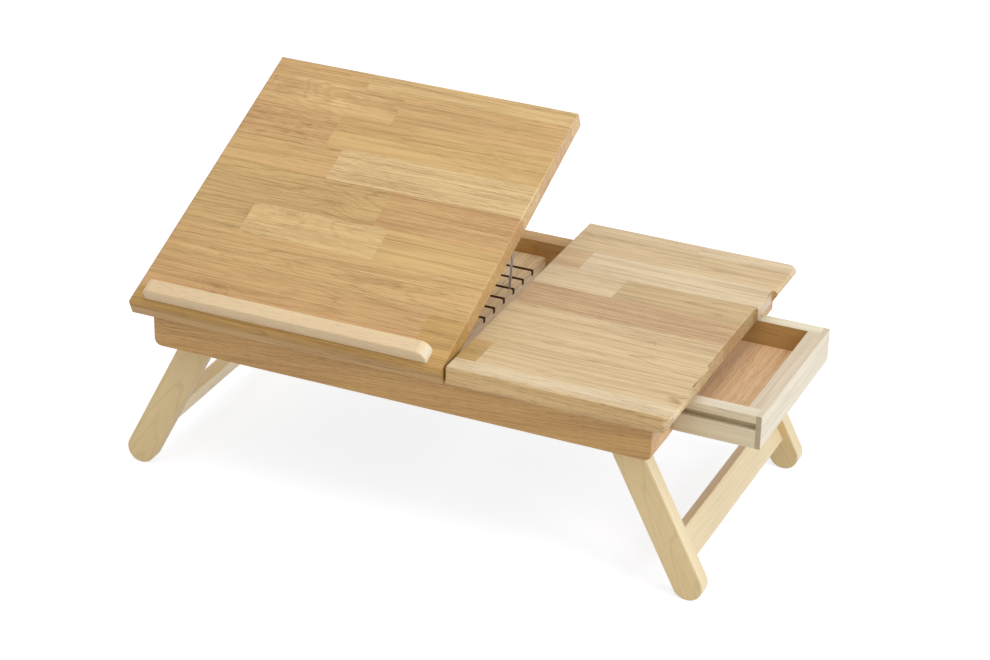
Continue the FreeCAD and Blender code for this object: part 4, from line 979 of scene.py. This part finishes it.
# Shares of the core's radius: the thread's root, the middle of its ridge and half its height.
ROOT_SHARE = 0.74
RIDGE_SHARE = 0.84
RIDGE_HALF = 0.15
PAN_HEIGHT = 0.0018
PAN_TOP = 0.75
HEAD_RIM = 0.0002
SMOOTH_BELOW = math.radians(40.0)
screw = Maker("driven_screw", Head="Float", Neck="Float", HeadHeight="Float", Core="Float", Length="Float",
              Cross="Bool", Material="Material")
head = screw.put("GeometryNodeMeshCone", {"Vertices": HEAD_SIDES, "Radius Top": screw.start["Neck"],
                                          "Radius Bottom": screw.start["Head"],
                                          "Depth": screw.start["HeadHeight"]}).outputs["Mesh"]
arm = screw.math("MULTIPLY", screw.start["Head"], CROSS_REACH)
bars = []
for x, y in ((arm, CROSS_WIDTH), (CROSS_WIDTH, arm)):
    size = screw.put("ShaderNodeCombineXYZ", {0: x, 1: y, 2: CROSS_DEPTH * 2.0}).outputs[0]
    bars.append(screw.put("GeometryNodeMeshCube", {"Size": size}).outputs["Mesh"])
cut = screw.put("GeometryNodeMeshBoolean", {"Mesh 1": head, "Mesh 2": bars}, operation="DIFFERENCE")
head = screw.put("GeometryNodeSwitch",
                 {"Switch": screw.start["Cross"], "False": head, "True": cut.outputs[0]},
                 input_type="GEOMETRY").outputs[0]
point_height = screw.math("MULTIPLY", screw.start["Core"], 2.0)
below_head = screw.math("SUBTRACT", screw.start["Length"], screw.start["HeadHeight"])
shank_height = screw.math("SUBTRACT", below_head, point_height)
inner = screw.math("MULTIPLY", screw.start["Core"], ROOT_SHARE)
shank = screw.put("GeometryNodeMeshCone", {"Vertices": SHANK_SIDES, "Radius Top": inner,
                                           "Radius Bottom": inner, "Depth": shank_height}).outputs["Mesh"]
tip = screw.put("GeometryNodeMeshCone", {"Vertices": SHANK_SIDES, "Radius Top": TIP_RADIUS,
                                         "Radius Bottom": inner, "Depth": point_height}).outputs["Mesh"]
rounds = screw.math("DIVIDE", shank_height, THREAD_PITCH)
middle_radius = screw.math("MULTIPLY", screw.start["Core"], RIDGE_SHARE)
coil = screw.put("GeometryNodeCurveSpiral",
                 {"Resolution": TURN_STEPS, "Rotations": rounds, "Start Radius": middle_radius,
                  "End Radius": middle_radius, "Height": shank_height}).outputs[0]
ridge_half = screw.math("MULTIPLY", screw.start["Core"], RIDGE_HALF)
ridge = screw.put("GeometryNodeCurvePrimitiveCircle", {"Resolution": 3, "Radius": ridge_half}).outputs[0]
thread = screw.put("GeometryNodeCurveToMesh", {"Curve": coil, "Profile Curve": ridge}).outputs[0]
neck_at = screw.put("ShaderNodeCombineXYZ", {2: screw.start["HeadHeight"]}).outputs[0]
tip_at = screw.put("ShaderNodeCombineXYZ",
                   {2: screw.math("ADD", screw.start["HeadHeight"], shank_height)}).outputs[0]
shank = screw.put("GeometryNodeTransform", {"Geometry": shank, "Translation": neck_at}).outputs[0]
thread = screw.put("GeometryNodeTransform", {"Geometry": thread, "Translation": neck_at}).outputs[0]
tip = screw.put("GeometryNodeTransform", {"Geometry": tip, "Translation": tip_at}).outputs[0]
whole = screw.put("GeometryNodeJoinGeometry", {0: [head, shank, thread, tip]}).outputs[0]
way = screw.put("GeometryNodeInputNamedAttribute", {"Name": "drive"}, data_type="FLOAT_VECTOR").outputs[0]
turn = screw.put("FunctionNodeAlignRotationToVector", {"Vector": way}, axis="Z").outputs[0]
planted = screw.put("GeometryNodeInstanceOnPoints",
                    {"Points": screw.start["Geometry"], "Instance": whole, "Rotation": turn}).outputs[0]
screw.finish(planted)

for node, (axis, head_radius, core, length) in SCREW_SIZES.items():
    points = bpy.data.meshes.new(node + "_places")
    points.from_pydata([at for at, drive in seats[node]], [], [])
    drives = points.attributes.new("drive", "FLOAT_VECTOR", "POINT")
    for number, (at, drive) in enumerate(seats[node]):
        drives.data[number].vector = drive
    pan = node == "prop_clip_screws"
    brad = node == "drawer_brads"
    head_height = PAN_HEIGHT if pan else head_radius - core + HEAD_RIM
    piece = screw.grow(node + "_turned", points, Head=head_radius * (PAN_TOP if pan else 1.0),
                       Neck=head_radius if pan else core, HeadHeight=head_height, Core=core,
                       Length=length, Cross=not brad, Material=zinc)
    piece.data.polygons.foreach_set("use_smooth", [True] * len(piece.data.polygons))
    piece.data.set_sharp_from_angle(angle=SMOOTH_BELOW)
    hand_over(piece, node)
    wear(piece, zinc)
    print(node, "pieces", len(seats[node]), "faces", len(piece.data.polygons))
